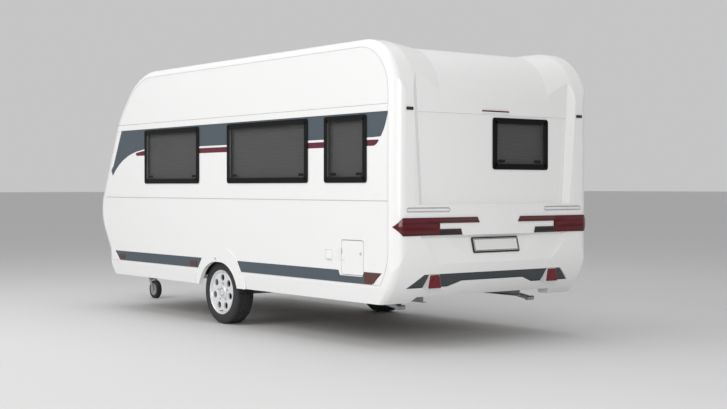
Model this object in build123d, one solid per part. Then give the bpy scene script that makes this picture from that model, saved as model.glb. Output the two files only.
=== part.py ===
from build123d import *
import os
from math import atan2, cos, hypot, radians, sin, tan

# Single-axle travel caravan, parked on its road wheels and its jockey wheel.
# Millimetres. +X points forward to the coupling, +Y to the left side, +Z up.
# Stations along X are measured from the rear face; save() then puts the origin
# on the ground, halfway between the tail lamps and the tip of the coupling.

# ---- driving dimensions: body ------------------------------------------------
NOSE_X = 5478.0
BALL_AHEAD = 1097.0
BALL_X = NOSE_X + BALL_AHEAD
CUP_R = 55.0
OVERALL_LENGTH = BALL_X + CUP_R
BODY_WIDTH = 2300.0
ROOF_Z = 2616.0
SKIRT_Z = 383.0
SIDE_WALL = 31.0
END_WALL = 78.0
FRONT_WALL = 40.0
EDGE_RADIUS = 70.0
REAR_POST_R = 108.0
SHEET_REAR_X = 108.0
ROOF_SEAM_REAR = 520.0
ROOF_SEAM_BACK = 1319.0
ROOF_SEAM_FRONT = NOSE_X - ROOF_SEAM_BACK
SILL_Z = 545.0
PANEL_GAP = 6.0
FLOOR_Z = 470.0
FLOOR_THICK = 42.0
LAMP_PROUD = 10.0
HALF = BODY_WIDTH / 2
INNER = HALF - SIDE_WALL
ORIGIN_X = (OVERALL_LENGTH - LAMP_PROUD) / 2
FLOOR_TOP = FLOOR_Z + FLOOR_THICK

# Side outline of the body, clockwise from the rear foot: station, height, corner radius.
NOSE_Z = 1074.0
REAR_CORNER_R = 490.0
ROOF_CORNER_BACK = 967.0
RAKE_TOP_BACK = 507.0
TUCK_BACK = 285.0
APRON_BACK = 384.0
RAKE_TOP = (NOSE_X - RAKE_TOP_BACK, ROOF_Z - 474.0)
OUTLINE = [
    (229.0, SKIRT_Z, 0.0),
    (0.0, 560.0, 590.0),
    (0.0, ROOF_Z, REAR_CORNER_R),
    (NOSE_X - ROOF_CORNER_BACK, ROOF_Z, 805.0),
    (*RAKE_TOP, 900.0),
    (NOSE_X, NOSE_Z, 450.0),
    (NOSE_X - TUCK_BACK, 640.0, 150.0),
    (NOSE_X - TUCK_BACK - 2.0, 500.0, 160.0),
    (NOSE_X - APRON_BACK, SKIRT_Z, 0.0),
]
REAR_EDGES = (0, 1)
FOOT_CUT = 150.0

# ---- roof and rear panel -------------------------------------------------------
LEDGE_Z = 1217.0
ROOF_RECESS = 45.0
ROOF_FLAT_Y = HALF - 510.0
ROOF_SHOULDER_Y = HALF - 200.0
ROOF_RAMP = 200.0
REAR_RECESS = 45.0
POST_FOOT_Y = 838.0
POST_TOP_Y = 913.0
POST_TOP_Z = 2400.0
POST_SLOPE_WIDTH = 70.0
BROW_Z = 1995.0
BROW_DEPTH = 12.0
BROW_END = 10.0

# ---- bumper --------------------------------------------------------------------
BUMPER_SIDE_X = 330.0
# Cuts with sloping sides: station, half width and height, at the top and at the foot.
SCOOP_MOUTH = [(-30.0, 912.0, 963.0), (-30.0, 690.0, 690.0)]
SCOOP_BED = [(50.0, 838.0, 946.0), (12.0, 650.0, 700.0)]
PLATE_WIDTH = 520.0
PLATE_HEIGHT = 110.0
PLATE_Z = 863.0
PLATE_TILT = 15.0
PLATE_BED_X = 46.0
HOLDER_RIM = 14.0
HOLDER_THICK = 12.0
PLATE_THICK = 3.0
BOWL_MOUTH = [(38.0, 690.0, PLATE_Z + 81.0), (8.0, 540.0, PLATE_Z - 111.0)]
BOWL_BED = [(400.0, PLATE_Z + 73.0), (330.0, PLATE_Z - 98.0)]
BAND_RECESS = 12.0
# Half of the dark band's outline: distance from the middle, height.
BAND = [(HALF - 790.0, 562.0), (HALF - 650.0, 516.0), (HALF - 185.0, 516.0), (HALF - 338.0, 632.0)]
VALANCE_Z = 435.0
VALANCE_HALF = HALF - 360.0
VALANCE_END = 40.0
HANDLE_Z = (1152.0, 1196.0)
HANDLE_Y = (HALF - 590.0, HALF - 110.0)
HANDLE_R = 11.0
HANDLE_DEPTH = 28.0
HANDLE_INSET = 3.0
TUCK = 22.0
TUCK_Z = 530.0

# ---- lamps and markers -----------------------------------------------------------
LAMP_SIDE_PROUD = 12.0
LAMP_REACH = 60.0
LAMP_TIP_Y = HALF - 6.0
LAMP_CORNER_Y = HALF - 73.0
LAMP_NOTCH_Y = HALF - 466.0
LAMP_TOP = 1110.0
LAMP_FOOT = 961.0
# Arrow of the tail lamp seen from behind, two arms pointing to the middle.
ARROW = [(HALF - 918.0, LAMP_TOP - 48.0), (HALF - 893.0, LAMP_TOP), (LAMP_CORNER_Y, LAMP_TOP),
         (LAMP_TIP_Y, 1036.0), (LAMP_CORNER_Y, LAMP_FOOT), (HALF - 718.0, LAMP_FOOT),
         (HALF - 703.0, LAMP_FOOT + 52.0), (LAMP_NOTCH_Y, LAMP_FOOT + 52.0), (LAMP_NOTCH_Y, LAMP_TOP - 48.0)]
REFLECTOR_X = (42.0, 116.0)
# Corners of the reflector pod: distance from the middle, height.
REFLECTOR = [(HALF - 524.0, 512.0), (HALF - 374.0, 512.0), (HALF - 399.0, 628.0), (HALF - 503.0, 628.0)]
BRAKE_LIGHT_HALF = 156.0
BRAKE_LIGHT_Z = (2010.0, 2030.0)
BRAKE_LIGHT_THICK = 12.0
END_MARKER_Y = (HALF - 176.0, HALF - 106.0)
END_MARKER_Z = (2000.0, 2024.0)
END_MARKER_PROUD = 6.0
LEFT_MARKERS = [(3215.0, 3345.0), (4805.0, 4935.0)]
RIGHT_MARKERS = [(3186.0, 3284.0), (4805.0, 4935.0)]
MARKER_Z = (SILL_Z + 17.0, SILL_Z + 67.0)
# The rear marker fills the slanted end of the stripe: station, height.
REAR_MARKER = [(206.0, SILL_Z + 101.0), (428.0, SILL_Z + 101.0), (416.0, SILL_Z + 11.0),
               (300.0, SILL_Z + 11.0)]
MARKER_PROUD = 5.0

# ---- windows, door, flap and lid ---------------------------------------------------
# Windows are given by the outline of the pane, which laps over its opening.
WINDOW_Z = (1401.0, 1977.0)
WINDOW_R = 26.0
WINDOW_LAP = 14.0
PANE_PROUD = 8.0
LEFT_WINDOWS = [(390.0, 997.0), (1247.0, 2619.0), (3160.0, 4322.0)]
RIGHT_WINDOWS = [(700.0, 1700.0), (4080.0, 4560.0)]
REAR_WINDOW_Y = (-659.0, 24.0)
REAR_WINDOW_Z = (1518.0, 1972.0)
FRONT_WINDOW = (1528.0, 498.0)
FRONT_WINDOW_R = 74.0
FRONT_WINDOW_Z = 1730.0
BLIND_LAP = 16.0
BLIND_THICK = 18.0
DOOR_X = (3300.0, 3900.0)
DOOR_Z = (575.0, 2240.0)
DOOR_R = 90.0
DOOR_WINDOW_X = (DOOR_X[0] + 116.0, DOOR_X[1] - 116.0)
DOOR_WINDOW_Z = (1436.0, 1944.0)
DOOR_WINDOW_R = 54.0
DOOR_PANE = 6.0
LOCK_X = DOOR_X[0] + 45.0
LOCK_HALF = 22.0
LOCK_Z = (1290.0, 1430.0)
LOCK_PROUD = 15.0
FLAP_X = (440.0, 745.0)
FLAP_Z = (618.0, 908.0)
FLAP_R = 20.0
FLAP_BACK = 8.0
LINER_LAP = 30.0
LINER_DEPTH = 330.0
LINER_WALL = 4.0
LID_Z = (700.0, 1290.0)
LID_HALF = 860.0
LID_DEPTH = 500.0
HINGE_OUT = 13.0
HINGE_R = 7.0
HINGE_LEAF = (3.0, 40.0)
HINGE_LEAF_THICK = 6.0
KNUCKLE = 50.0
KNUCKLE_GAP = 0.4
DOOR_HINGE_Z = [700.0, 1300.0, 1860.0]
FLAP_HINGE_Z = [740.0]
LID_HINGE_Y = [-600.0, 0.0, 600.0]
LID_HINGE_SINK = 5.0
STRIP_Z = (1992.0, 2050.0)
STRIP_END_X = NOSE_X - 378.0
STRIP_PROUD = 5.0

# ---- locker, roof and wall fittings --------------------------------------------------
BULKHEAD_BACK = 719.0
BULKHEAD_X = NOSE_X - BULKHEAD_BACK
BULKHEAD_THICK = 22.0
LOCKER_TOP = 1330.0
BOTTLE_R = 150.0
BOTTLE_BACK = 524.0
BOTTLE_X = NOSE_X - BOTTLE_BACK
BOTTLE_Y = 200.0
BOTTLE_HEIGHT = 490.0
BOTTLE_SHOULDER = 50.0
GUARD_R = 70.0
GUARD_WALL = 6.0
GUARD_HEIGHT = 90.0
GUARD_FLOOR = 5.0
ROOFLIGHTS = [(1300.0, 400.0), (2600.0, 700.0), (3700.0, 400.0)]
ROOFLIGHT_FRAME = 20.0
ROOFLIGHT_DOME = 35.0
ROOFLIGHT_RIM = 15.0
ROOFLIGHT_R = 40.0
VENT_X = 2250.0
VENT_Z = (800.0, 1350.0)
VENT_HALF = (225.0, 110.0)
VENT_THICK = 12.0
VENT_R = 16.0
VENT_SLOTS = 7
VENT_PITCH = 25.0
VENT_SLOT = (195.0, 6.0, 8.0)

# ---- running gear --------------------------------------------------------------------
AXLE_X = 2853.0
WHEEL_R = 316.0
TYRE_WIDTH = 205.0
WHEEL_FACE_Y = HALF - 60.0
WHEEL_Y = WHEEL_FACE_Y - TYRE_WIDTH / 2
RIM_R = 216.0
RIM_WIDTH = 170.0
WINDOWS_PER_RIM = 7
WINDOW_CIRCLE_R = 146.0
WINDOW_HOLE_R = 34.0
DRUM_R = 125.0
ARCH_OPENING_R = 340.0
ARCH_OPENING_Z = 284.0
ARCH_OPENING_X = (AXLE_X - 91.0, AXLE_X - 21.0)
ARCH_LINER_R = 405.0
ARCH_LINER_WALL = 5.0
ARCH_INNER_Y = HALF - 300.0
TRIM_THICK = 10.0
TRIM_TOP_Z = 767.0
TRIM_FOOT_X = (AXLE_X - 553.0, AXLE_X + 362.0)
TRIM_TOP_X = (AXLE_X - 336.0, AXLE_X + 190.0)
TRIM_CORNER_R = 360.0
AXLE_TUBE_R = 50.0
AXLE_HALF = HALF - 360.0
AXLE_BRACKET = 75.0
ARM_LENGTH = 160.0
ARM_WIDTH = 40.0
ARM_R = (48.0, 40.0)
STUB_R = 20.0
STUB_END_Y = HALF - 150.0
BACKPLATE_Y = HALF - 215.0
BACKPLATE_THICK = 8.0

# ---- chassis ---------------------------------------------------------------------------
RAIL_Y = 585.0
RAIL_HEIGHT = 105.0
RAIL_FLANGE = 44.0
RAIL_WALL = 5.0
RAIL_REAR_X = 330.0
DRAWBAR_BACK = 1228.0
DRAWBAR_X = NOSE_X - DRAWBAR_BACK
DRAWBAR_END_X = BALL_X - 435.0
DRAWBAR_END_Y = 72.0
DRAWBAR_LAP = 40.0
BEAM_WAY_Y = 430.0
APRON_X = NOSE_X - 518.0
CROSS_X = [620.0, 1700.0, 3500.0, 4200.0]
CROSS_HALF = 20.0
CROSS_INSET = 25.0
SEAT_GAP = 0.3
STEADY_X = (900.0, 4330.0)
STEADY_Y = HALF - 370.0
STEADY_Z = 400.0
STEADY_REACH = 500.0
STEADY_FOOT_Z = 330.0
STEADY_START = 14.0
STEADY_HALF = (20.0, 16.0)
STEADY_BOSS_R = 22.0
STEADY_FOOT_R = 20.0
STEADY_FOOT_HALF = 42.0
STEADY_PIN_R = 8.0
BRACKET_HALF = 30.0
BRACKET_CHEEK = (26.0, 32.0)
BRACKET_DROP = 24.0

# ---- coupling and jockey wheel -----------------------------------------------------------
BALL_R = 25.0
BALL_CLEAR = 0.15
BALL_Z = 462.0
CUP_HEIGHT = (-22.0, 44.0)
CUP_ROUND = 24.0
TOW_Z = 500.0
TOW_TUBE_R = 25.0
SLEEVE_R = 38.0
HOUSING_BACK = (615.0, 325.0)
HOUSING_X = (BALL_X - HOUSING_BACK[0], BALL_X - HOUSING_BACK[1])
HOUSING_HALF = 58.0
HOUSING_RISE = 46.0
SLEEVE_X = (BALL_X - 215.0, BALL_X - 135.0)
GRIP_HALF = 16.0
# Coupling handle seen from the side: station behind the ball, height over the tow tube.
GRIP = [(-60.0, 20.0), (-20.0, 62.0), (-195.0, 110.0), (-203.0, 92.0), (-120.0, 44.0), (-130.0, 20.0)]
LEVER_X = BALL_X - 515.0
LEVER_Y = 70.0
LEVER_R = 11.0
LEVER_TOP = (-190.0, 330.0)
JOCKEY_BACK = 650.0
JOCKEY_X = BALL_X - JOCKEY_BACK
JOCKEY_Y = 205.0
JOCKEY_WHEEL_R = 110.0
JOCKEY_WHEEL_WIDTH = 60.0
JOCKEY_TRAIL = 75.0
JOCKEY_TUBE_R = 30.0
JOCKEY_ROD_R = 24.0
JOCKEY_TOP_Z = 860.0
JOCKEY_ROD_DROP = 160.0
CRANK_REACH = 100.0
CRANK_HALF = 9.0
CRANK_THICK = 12.0
KNOB_R = 12.0
KNOB_HEIGHT = 98.0
CLAMP_HALF = 38.0
CLAMP_OUT = 36.0
ROD_CLEAR = 0.5
FORK_TOP_Z = 250.0
FORK_HALF = 30.0
FORK_WALL = 6.0
FORK_CLEAR = 5.0
SPIGOT_R = 10.0
HUB_R = 8.0


# ---- helpers ---------------------------------------------------------------------
def block(x, y, z):
    return Pos(sum(x) / 2, sum(y) / 2, sum(z) / 2) * Box(x[1] - x[0], y[1] - y[0], z[1] - z[0])


def rod(start, end, radius):
    axis = Vector(*end) - Vector(*start)
    base = Plane(origin=start, z_dir=axis)
    return base * Cylinder(radius, axis.length, align=(Align.CENTER, Align.CENTER, Align.MIN))


def xz_prism(points, y0, y1):
    face = make_face(Polyline(*points, close=True))
    return extrude(Plane.XZ.offset(-y1) * face, amount=y1 - y0)


def yz_prism(points, x0, x1):
    face = make_face(Polyline(*points, close=True))
    return extrude(Plane.YZ.offset(x0) * face, amount=x1 - x0)


def xz_plate(x, z, radius, y0, y1):
    face = Pos(sum(x) / 2, sum(z) / 2) * RectangleRounded(x[1] - x[0], z[1] - z[0], radius)
    return extrude(Plane.XZ.offset(-y1) * face, amount=y1 - y0)


def yz_plate(y, z, radius, x0, x1):
    face = Pos(sum(y) / 2, sum(z) / 2) * RectangleRounded(y[1] - y[0], z[1] - z[0], radius)
    return extrude(Plane.YZ.offset(x0) * face, amount=x1 - x0)


def grown(span, amount):
    return (span[0] - amount, span[1] + amount)


def around(middle, half):
    return (middle - half, middle + half)


def mirrored(shape):
    return mirror(shape, about=Plane.XZ)


def both(shape):
    return [shape, mirrored(shape)]


def save(name, *shapes):
    solids = [solid for shape in shapes for solid in shape.solids()]
    moved = [Pos(-ORIGIN_X, 0, 0) * solid for solid in solids]
    export_step(moved[0] if len(moved) == 1 else Compound(moved), f"parts/{name}.step")


# ---- body outline ------------------------------------------------------------------
def outline_face(inset, foot_drop=0.0, rear_inset=None):
    """Side outline moved inwards by inset, its rear by rear_inset, its foot line down by foot_drop."""
    count = len(OUTLINE)
    insets = [inset] * count
    for index in REAR_EDGES:
        insets[index] = inset if rear_inset is None else rear_inset
    lines = []
    for index in range(count):
        x0, z0, _ = OUTLINE[index]
        x1, z1, _ = OUTLINE[(index + 1) % count]
        length = hypot(x1 - x0, z1 - z0)
        dx, dz = (x1 - x0) / length, (z1 - z0) / length
        shift = -foot_drop if index == count - 1 else insets[index]
        lines.append((x0 + dz * shift, z0 - dx * shift, dx, dz))
    edges = []
    last = None
    for index in range(count + 1):
        ax, az, adx, adz = lines[(index - 1) % count]
        bx, bz, bdx, bdz = lines[index % count]
        turn = adx * bdz - adz * bdx
        along = ((bx - ax) * bdz - (bz - az) * bdx) / turn
        corner = Vector(ax + adx * along, az + adz * along)
        radius = OUTLINE[index % count][2]
        if radius > 0:
            deepest = max(insets[(index - 1) % count], insets[index % count])
            radius += deepest if turn > 0 else -deepest
        half_turn = atan2(abs(turn), adx * bdx + adz * bdz) / 2
        setback = radius * tan(half_turn)
        start = corner - Vector(adx, adz) * setback
        end = corner + Vector(bdx, bdz) * setback
        if last is not None:
            edges.append(Line(last, start))
        if radius > 0 and index < count:
            inward = (Vector(bdx, bdz) - Vector(adx, adz)).normalized()
            middle = corner + inward * (radius / cos(half_turn) - radius)
            edges.append(ThreePointArc(start, middle, end))
        last = end
    return make_face(edges)


def outline_prism(inset, half_width, foot_drop=0.0):
    return extrude(Plane.XZ * outline_face(inset, foot_drop), amount=half_width, both=True)


def rounded_hull(inset, half_width, radius):
    hull = outline_prism(inset, half_width, FOOT_CUT)
    rim = [e for e in hull.edges()
           if abs(abs(e.center().Y) - half_width) < 0.01 and e.center().Z > SKIRT_Z - FOOT_CUT + 1]
    hull = fillet(rim, radius) - block((-FOOT_CUT, OVERALL_LENGTH), (-HALF * 2, HALF * 2), (0, SKIRT_Z))
    post_r = radius + REAR_POST_R - EDGE_RADIUS
    post_x, post_y = inset + post_r, half_width - post_r
    corner = block((inset - 1, post_x), (post_y, half_width + 1), (0, 2 * ROOF_Z))
    corner = corner - rod((post_x, post_y, 0), (post_x, post_y, 2 * ROOF_Z), post_r)
    return hull - corner - mirrored(corner)


def zone(x=(-FOOT_CUT, OVERALL_LENGTH), y=(-2 * HALF, 2 * HALF), z=(0, 2 * ROOF_Z)):
    return block(x, y, z)


def rake_x(z):
    """Station of the raked front face at a height."""
    return RAKE_TOP[0] + (z - RAKE_TOP[1]) * (NOSE_X - RAKE_TOP[0]) / (NOSE_Z - RAKE_TOP[1])


os.makedirs("parts", exist_ok=True)

# ---- body shell --------------------------------------------------------------------
hull = rounded_hull(0, HALF, EDGE_RADIUS)
front_cavity = outline_prism(FRONT_WALL, INNER, FOOT_CUT) & zone(x=(ROOF_SEAM_FRONT, OVERALL_LENGTH))
cavity = outline_prism(END_WALL, INNER, FOOT_CUT) + front_cavity
above_sill = zone(z=(SILL_Z, 2 * ROOF_Z))
sheet_face = outline_face(EDGE_RADIUS, FOOT_CUT, SHEET_REAR_X)
sheet = extrude(Plane.XZ.offset(-HALF) * sheet_face, amount=SIDE_WALL) & above_sill
wall_seat = extrude(Plane.XZ * sheet_face, amount=2 * HALF, both=True) & above_sill
ring = hull - cavity - wall_seat

# The skirts lean in below the sill, except behind the wheel arch trims.
tuck_face = [(HALF + 1, TUCK_Z), (HALF + 1, SKIRT_Z - 1), (HALF - TUCK, SKIRT_Z - 1)]
for ends in ((-FOOT_CUT, TRIM_FOOT_X[0]), (TRIM_FOOT_X[1], OVERALL_LENGTH)):
    for tuck in both(yz_prism(tuck_face, *ends)):
        ring = ring - tuck

# The roof and the rear lie lower between rounded shoulders, along the outline.
dish_path = Wire([Line((ROOF_SEAM_FRONT, 0, ROOF_Z), (REAR_CORNER_R, 0, ROOF_Z)),
                  ThreePointArc((REAR_CORNER_R, 0, ROOF_Z),
                                (REAR_CORNER_R * (1 - sin(radians(45))), 0,
                                 ROOF_Z - REAR_CORNER_R * (1 - cos(radians(45)))),
                                (0, 0, ROOF_Z - REAR_CORNER_R)),
                  Line((0, 0, ROOF_Z - REAR_CORNER_R), (0, 0, LEDGE_Z))])
dish_slope = (ROOF_SHOULDER_Y - ROOF_FLAT_Y) / ROOF_RECESS
dish_rim_y = ROOF_SHOULDER_Y + dish_slope
dish_section = [(-ROOF_FLAT_Y, ROOF_Z - ROOF_RECESS), (ROOF_FLAT_Y, ROOF_Z - ROOF_RECESS),
                (dish_rim_y, ROOF_Z + 1), (dish_rim_y, ROOF_Z + ROOF_RECESS),
                (-dish_rim_y, ROOF_Z + ROOF_RECESS), (-dish_rim_y, ROOF_Z + 1)]
dish_face = Plane.YZ.offset(ROOF_SEAM_FRONT) * make_face(Polyline(*dish_section, close=True))
dish = sweep(dish_face, path=dish_path)
ramp = xz_prism([(ROOF_SEAM_FRONT - ROOF_RAMP, ROOF_Z - ROOF_RECESS - 1), (ROOF_SEAM_FRONT + 1, ROOF_Z + 1),
                 (ROOF_SEAM_FRONT + 1, ROOF_Z - ROOF_RECESS - 1)], -HALF, HALF)
ring = ring - (dish - ramp)


# The rear panel lies back between two corner posts with sloping inner sides.
def scoop(mouth, bed):
    """Ruled cut between a mouth and a bed: station, half width and height, at top and foot."""
    faces = []
    for top, foot in (mouth, bed):
        corners = [(top[0], -top[1], top[2]), (top[0], top[1], top[2]),
                   (foot[0], foot[1], foot[2]), (foot[0], -foot[1], foot[2])]
        faces.append(make_face(Polyline(*corners, close=True)))
    return loft(faces, ruled=True)


mouth_out = POST_SLOPE_WIDTH * (FOOT_CUT + REAR_RECESS) / REAR_RECESS
recess_bed = [(REAR_RECESS, POST_TOP_Y, POST_TOP_Z), (REAR_RECESS, POST_FOOT_Y, LEDGE_Z)]
recess_mouth = [(-FOOT_CUT, half + mouth_out, z) for _, half, z in recess_bed]
ring = ring - scoop(recess_mouth, recess_bed)
post_slope = (POST_TOP_Y - POST_FOOT_Y) / (POST_TOP_Z - LEDGE_Z)
brow_foot_y = POST_FOOT_Y - BROW_END
brow_top_y = brow_foot_y + post_slope * (BROW_Z - LEDGE_Z)
below_brow = [(-brow_foot_y, LEDGE_Z), (brow_foot_y, LEDGE_Z), (brow_top_y, BROW_Z), (-brow_top_y, BROW_Z)]
rear_face = REAR_RECESS + BROW_DEPTH
ring = ring - yz_prism(below_brow, -FOOT_CUT, rear_face)

rear_zone = zone(x=(-FOOT_CUT, ROOF_SEAM_REAR))
roof = ring & zone(x=(ROOF_SEAM_REAR, ROOF_SEAM_FRONT), z=(ROOF_Z / 2, 2 * ROOF_Z))
rear_wall = ring & rear_zone & zone(z=(LEDGE_Z, 2 * ROOF_Z))
bumper = ring & zone(x=(-FOOT_CUT, BUMPER_SIDE_X), z=(0, LEDGE_Z))
skirt = ring & zone(x=(BUMPER_SIDE_X, APRON_X), y=(INNER - ARCH_LINER_WALL, 2 * HALF), z=(0, SILL_Z))
front_wall = ring & zone(x=(ROOF_SEAM_FRONT, OVERALL_LENGTH), z=(SILL_Z, 2 * ROOF_Z))
beam_way = zone(x=(APRON_X, OVERALL_LENGTH), y=(-BEAM_WAY_Y, BEAM_WAY_Y), z=(0, FLOOR_Z + PANEL_GAP))
apron = (ring & zone(x=(APRON_X, OVERALL_LENGTH), z=(0, SILL_Z))) - beam_way

rear_wall = rear_wall - yz_plate(grown(REAR_WINDOW_Y, -WINDOW_LAP), grown(REAR_WINDOW_Z, -WINDOW_LAP),
                                 WINDOW_R - WINDOW_LAP, -FOOT_CUT, 2 * END_WALL)

# ---- bumper: plate recess, grab handles, dark band, valance ---------------------------
bed_tilt = tan(radians(PLATE_TILT))
bowl_bed = [(PLATE_BED_X + (z - PLATE_Z) * bed_tilt, half, z) for half, z in BOWL_BED]
bumper = bumper - scoop(SCOOP_MOUTH, SCOOP_BED) - scoop(BOWL_MOUTH, bowl_bed)
for y in (HANDLE_Y, (-HANDLE_Y[1], -HANDLE_Y[0])):
    bumper = bumper - yz_plate(y, HANDLE_Z, (HANDLE_Z[1] - HANDLE_Z[0]) / 2 - 1, -FOOT_CUT, HANDLE_DEPTH)
band_points = [(-y, z) for y, z in BAND] + [(y, z) for y, z in reversed(BAND)]
band = yz_prism(band_points, -FOOT_CUT, BUMPER_SIDE_X) - outline_prism(BAND_RECESS, HALF, FOOT_CUT)
valance = [(-VALANCE_HALF - VALANCE_END, SKIRT_Z - 1), (-VALANCE_HALF, VALANCE_Z),
           (VALANCE_HALF, VALANCE_Z), (VALANCE_HALF + VALANCE_END, SKIRT_Z - 1)]
bumper = bumper - band - yz_prism(valance, -FOOT_CUT, BUMPER_SIDE_X + 1)

lid_zone = zone(x=(NOSE_X - LID_DEPTH, OVERALL_LENGTH), y=(-LID_HALF, LID_HALF), z=LID_Z)
lid = front_wall & lid_zone
lid_hole = zone(x=(NOSE_X - LID_DEPTH, OVERALL_LENGTH), y=grown((-LID_HALF, LID_HALF), PANEL_GAP),
                z=grown(LID_Z, PANEL_GAP))
front_wall = front_wall - lid_hole

arch_opening = block(ARCH_OPENING_X, (-2 * HALF, 2 * HALF), around(ARCH_OPENING_Z, ARCH_OPENING_R))
for x in ARCH_OPENING_X:
    arch_opening = arch_opening + rod((x, -2 * HALF, ARCH_OPENING_Z), (x, 2 * HALF, ARCH_OPENING_Z),
                                      ARCH_OPENING_R)


def window_cut(x):
    return xz_plate(grown(x, -WINDOW_LAP), grown(WINDOW_Z, -WINDOW_LAP), WINDOW_R - WINDOW_LAP,
                    -2 * HALF, 2 * HALF)


left_wall = sheet - arch_opening
for x in LEFT_WINDOWS:
    left_wall = left_wall - window_cut(x)
flap_hole = xz_plate(grown(FLAP_X, PANEL_GAP), grown(FLAP_Z, PANEL_GAP), FLAP_R, INNER - 1, 2 * HALF)
left_wall = left_wall - flap_hole
flap = xz_plate(FLAP_X, FLAP_Z, FLAP_R, INNER + FLAP_BACK, HALF)

right_wall = mirrored(sheet) - arch_opening
for x in RIGHT_WINDOWS:
    right_wall = right_wall - window_cut(x)
door_hole = xz_plate(grown(DOOR_X, PANEL_GAP), grown(DOOR_Z, PANEL_GAP), DOOR_R, -2 * HALF, 0)
right_wall = right_wall - door_hole
skirt_left = skirt - arch_opening
skirt_right = mirrored(skirt) - arch_opening - door_hole

save("roof", roof)
save("rear_wall", rear_wall)
save("rear_bumper", bumper)
save("front_apron", apron)
save("side_wall_left", left_wall)
save("side_wall_right", right_wall)
save("skirts", skirt_left, skirt_right)

# ---- floor, liners, bulkhead ---------------------------------------------------------
arch_box = zone(x=around(AXLE_X, ARCH_LINER_R), y=(ARCH_INNER_Y, HALF))
floor = cavity & zone(z=(FLOOR_Z, FLOOR_TOP))
floor = floor - arch_box - mirrored(arch_box)
save("floor", floor)


def arch_liner():
    outer = rod((AXLE_X, ARCH_INNER_Y, WHEEL_R), (AXLE_X, INNER, WHEEL_R), ARCH_LINER_R)
    inner = rod((AXLE_X, ARCH_INNER_Y + ARCH_LINER_WALL, WHEEL_R), (AXLE_X, INNER, WHEEL_R),
                ARCH_LINER_R - ARCH_LINER_WALL)
    return (outer - inner) & zone(z=(FLOOR_Z, ROOF_Z))


save("wheel_arches", *both(arch_liner()))

trim_outline = [(TRIM_FOOT_X[0], SKIRT_Z), (TRIM_TOP_X[0], TRIM_TOP_Z), (TRIM_TOP_X[1], TRIM_TOP_Z),
                (TRIM_FOOT_X[1], SKIRT_Z)]
trim = xz_prism(trim_outline, HALF, HALF + TRIM_THICK)
trim_corners = [e for e in trim.edges().filter_by(Axis.Y) if e.center().Z > TRIM_TOP_Z - 1]
trim = fillet(trim_corners, TRIM_CORNER_R) - arch_opening
save("arch_trims", *both(trim))

bulkhead = zone(x=(BULKHEAD_X, BULKHEAD_X + BULKHEAD_THICK), z=(FLOOR_TOP, LOCKER_TOP))
locker_roof = zone(x=(BULKHEAD_X, OVERALL_LENGTH), z=(LOCKER_TOP - BULKHEAD_THICK, LOCKER_TOP))
save("locker_bulkhead", (bulkhead + locker_roof) & cavity)


def gas_bottle(y):
    top = FLOOR_TOP + BOTTLE_HEIGHT
    body = rod((BOTTLE_X, y, FLOOR_TOP), (BOTTLE_X, y, top), BOTTLE_R)
    body = fillet(body.edges(), BOTTLE_SHOULDER)
    guard = rod((BOTTLE_X, y, top - GUARD_FLOOR), (BOTTLE_X, y, top + GUARD_HEIGHT), GUARD_R)
    hollow = rod((BOTTLE_X, y, top + GUARD_FLOOR), (BOTTLE_X, y, top + 2 * GUARD_HEIGHT), GUARD_R - GUARD_WALL)
    return body + (guard - hollow)


save("gas_bottles", *both(gas_bottle(BOTTLE_Y)))

liner_box = grown(FLAP_X, LINER_LAP), grown(FLAP_Z, LINER_LAP)
liner = block(liner_box[0], (INNER - LINER_DEPTH, INNER), liner_box[1])
liner = liner - block(grown(liner_box[0], -LINER_WALL), (INNER - LINER_DEPTH + LINER_WALL, INNER),
                      grown(liner_box[1], -LINER_WALL))
save("service_locker", liner)

# ---- glazing -------------------------------------------------------------------------
def pane(x):
    return xz_plate(x, WINDOW_Z, WINDOW_R, HALF, HALF + PANE_PROUD)


def blind(x):
    return xz_plate(grown(x, BLIND_LAP), grown(WINDOW_Z, BLIND_LAP), WINDOW_R, INNER - BLIND_THICK, INNER)


save("windows_left", *[pane(x) for x in LEFT_WINDOWS])
save("windows_right", *[mirrored(pane(x)) for x in RIGHT_WINDOWS])
save("window_rear", yz_plate(REAR_WINDOW_Y, REAR_WINDOW_Z, WINDOW_R, rear_face - PANE_PROUD, rear_face))
save("blinds", *[blind(x) for x in LEFT_WINDOWS], *[mirrored(blind(x)) for x in RIGHT_WINDOWS],
     yz_plate(grown(REAR_WINDOW_Y, BLIND_LAP), grown(REAR_WINDOW_Z, BLIND_LAP), WINDOW_R,
              END_WALL, END_WALL + BLIND_THICK))

# ---- trim, lamps and plate -------------------------------------------------------------
strip = block((SHEET_REAR_X, STRIP_END_X), (HALF, HALF + STRIP_PROUD), STRIP_Z)
strip = strip & outline_prism(EDGE_RADIUS, 2 * HALF, FOOT_CUT)
save("wall_strips", strip, mirrored(strip) - door_hole)

lamp_band = rounded_hull(-LAMP_PROUD, HALF + LAMP_SIDE_PROUD, EDGE_RADIUS + LAMP_PROUD) - hull
lamp = lamp_band & yz_prism(ARROW, -FOOT_CUT, LAMP_REACH)
save("tail_lamps", *both(lamp))

plate_plane = Plane(origin=(PLATE_BED_X, 0, PLATE_Z), x_dir=(0, -1, 0),
                    z_dir=(-cos(radians(PLATE_TILT)), 0, sin(radians(PLATE_TILT))))
holder_face = RectangleRounded(PLATE_WIDTH + 2 * HOLDER_RIM, PLATE_HEIGHT + 2 * HOLDER_RIM, HOLDER_RIM)
save("plate_holder", extrude(plate_plane * holder_face, amount=HOLDER_THICK))
plate_face = RectangleRounded(PLATE_WIDTH, PLATE_HEIGHT, HOLDER_RIM / 2)
save("number_plate", extrude(plate_plane.offset(HOLDER_THICK) * plate_face, amount=PLATE_THICK))


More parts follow.
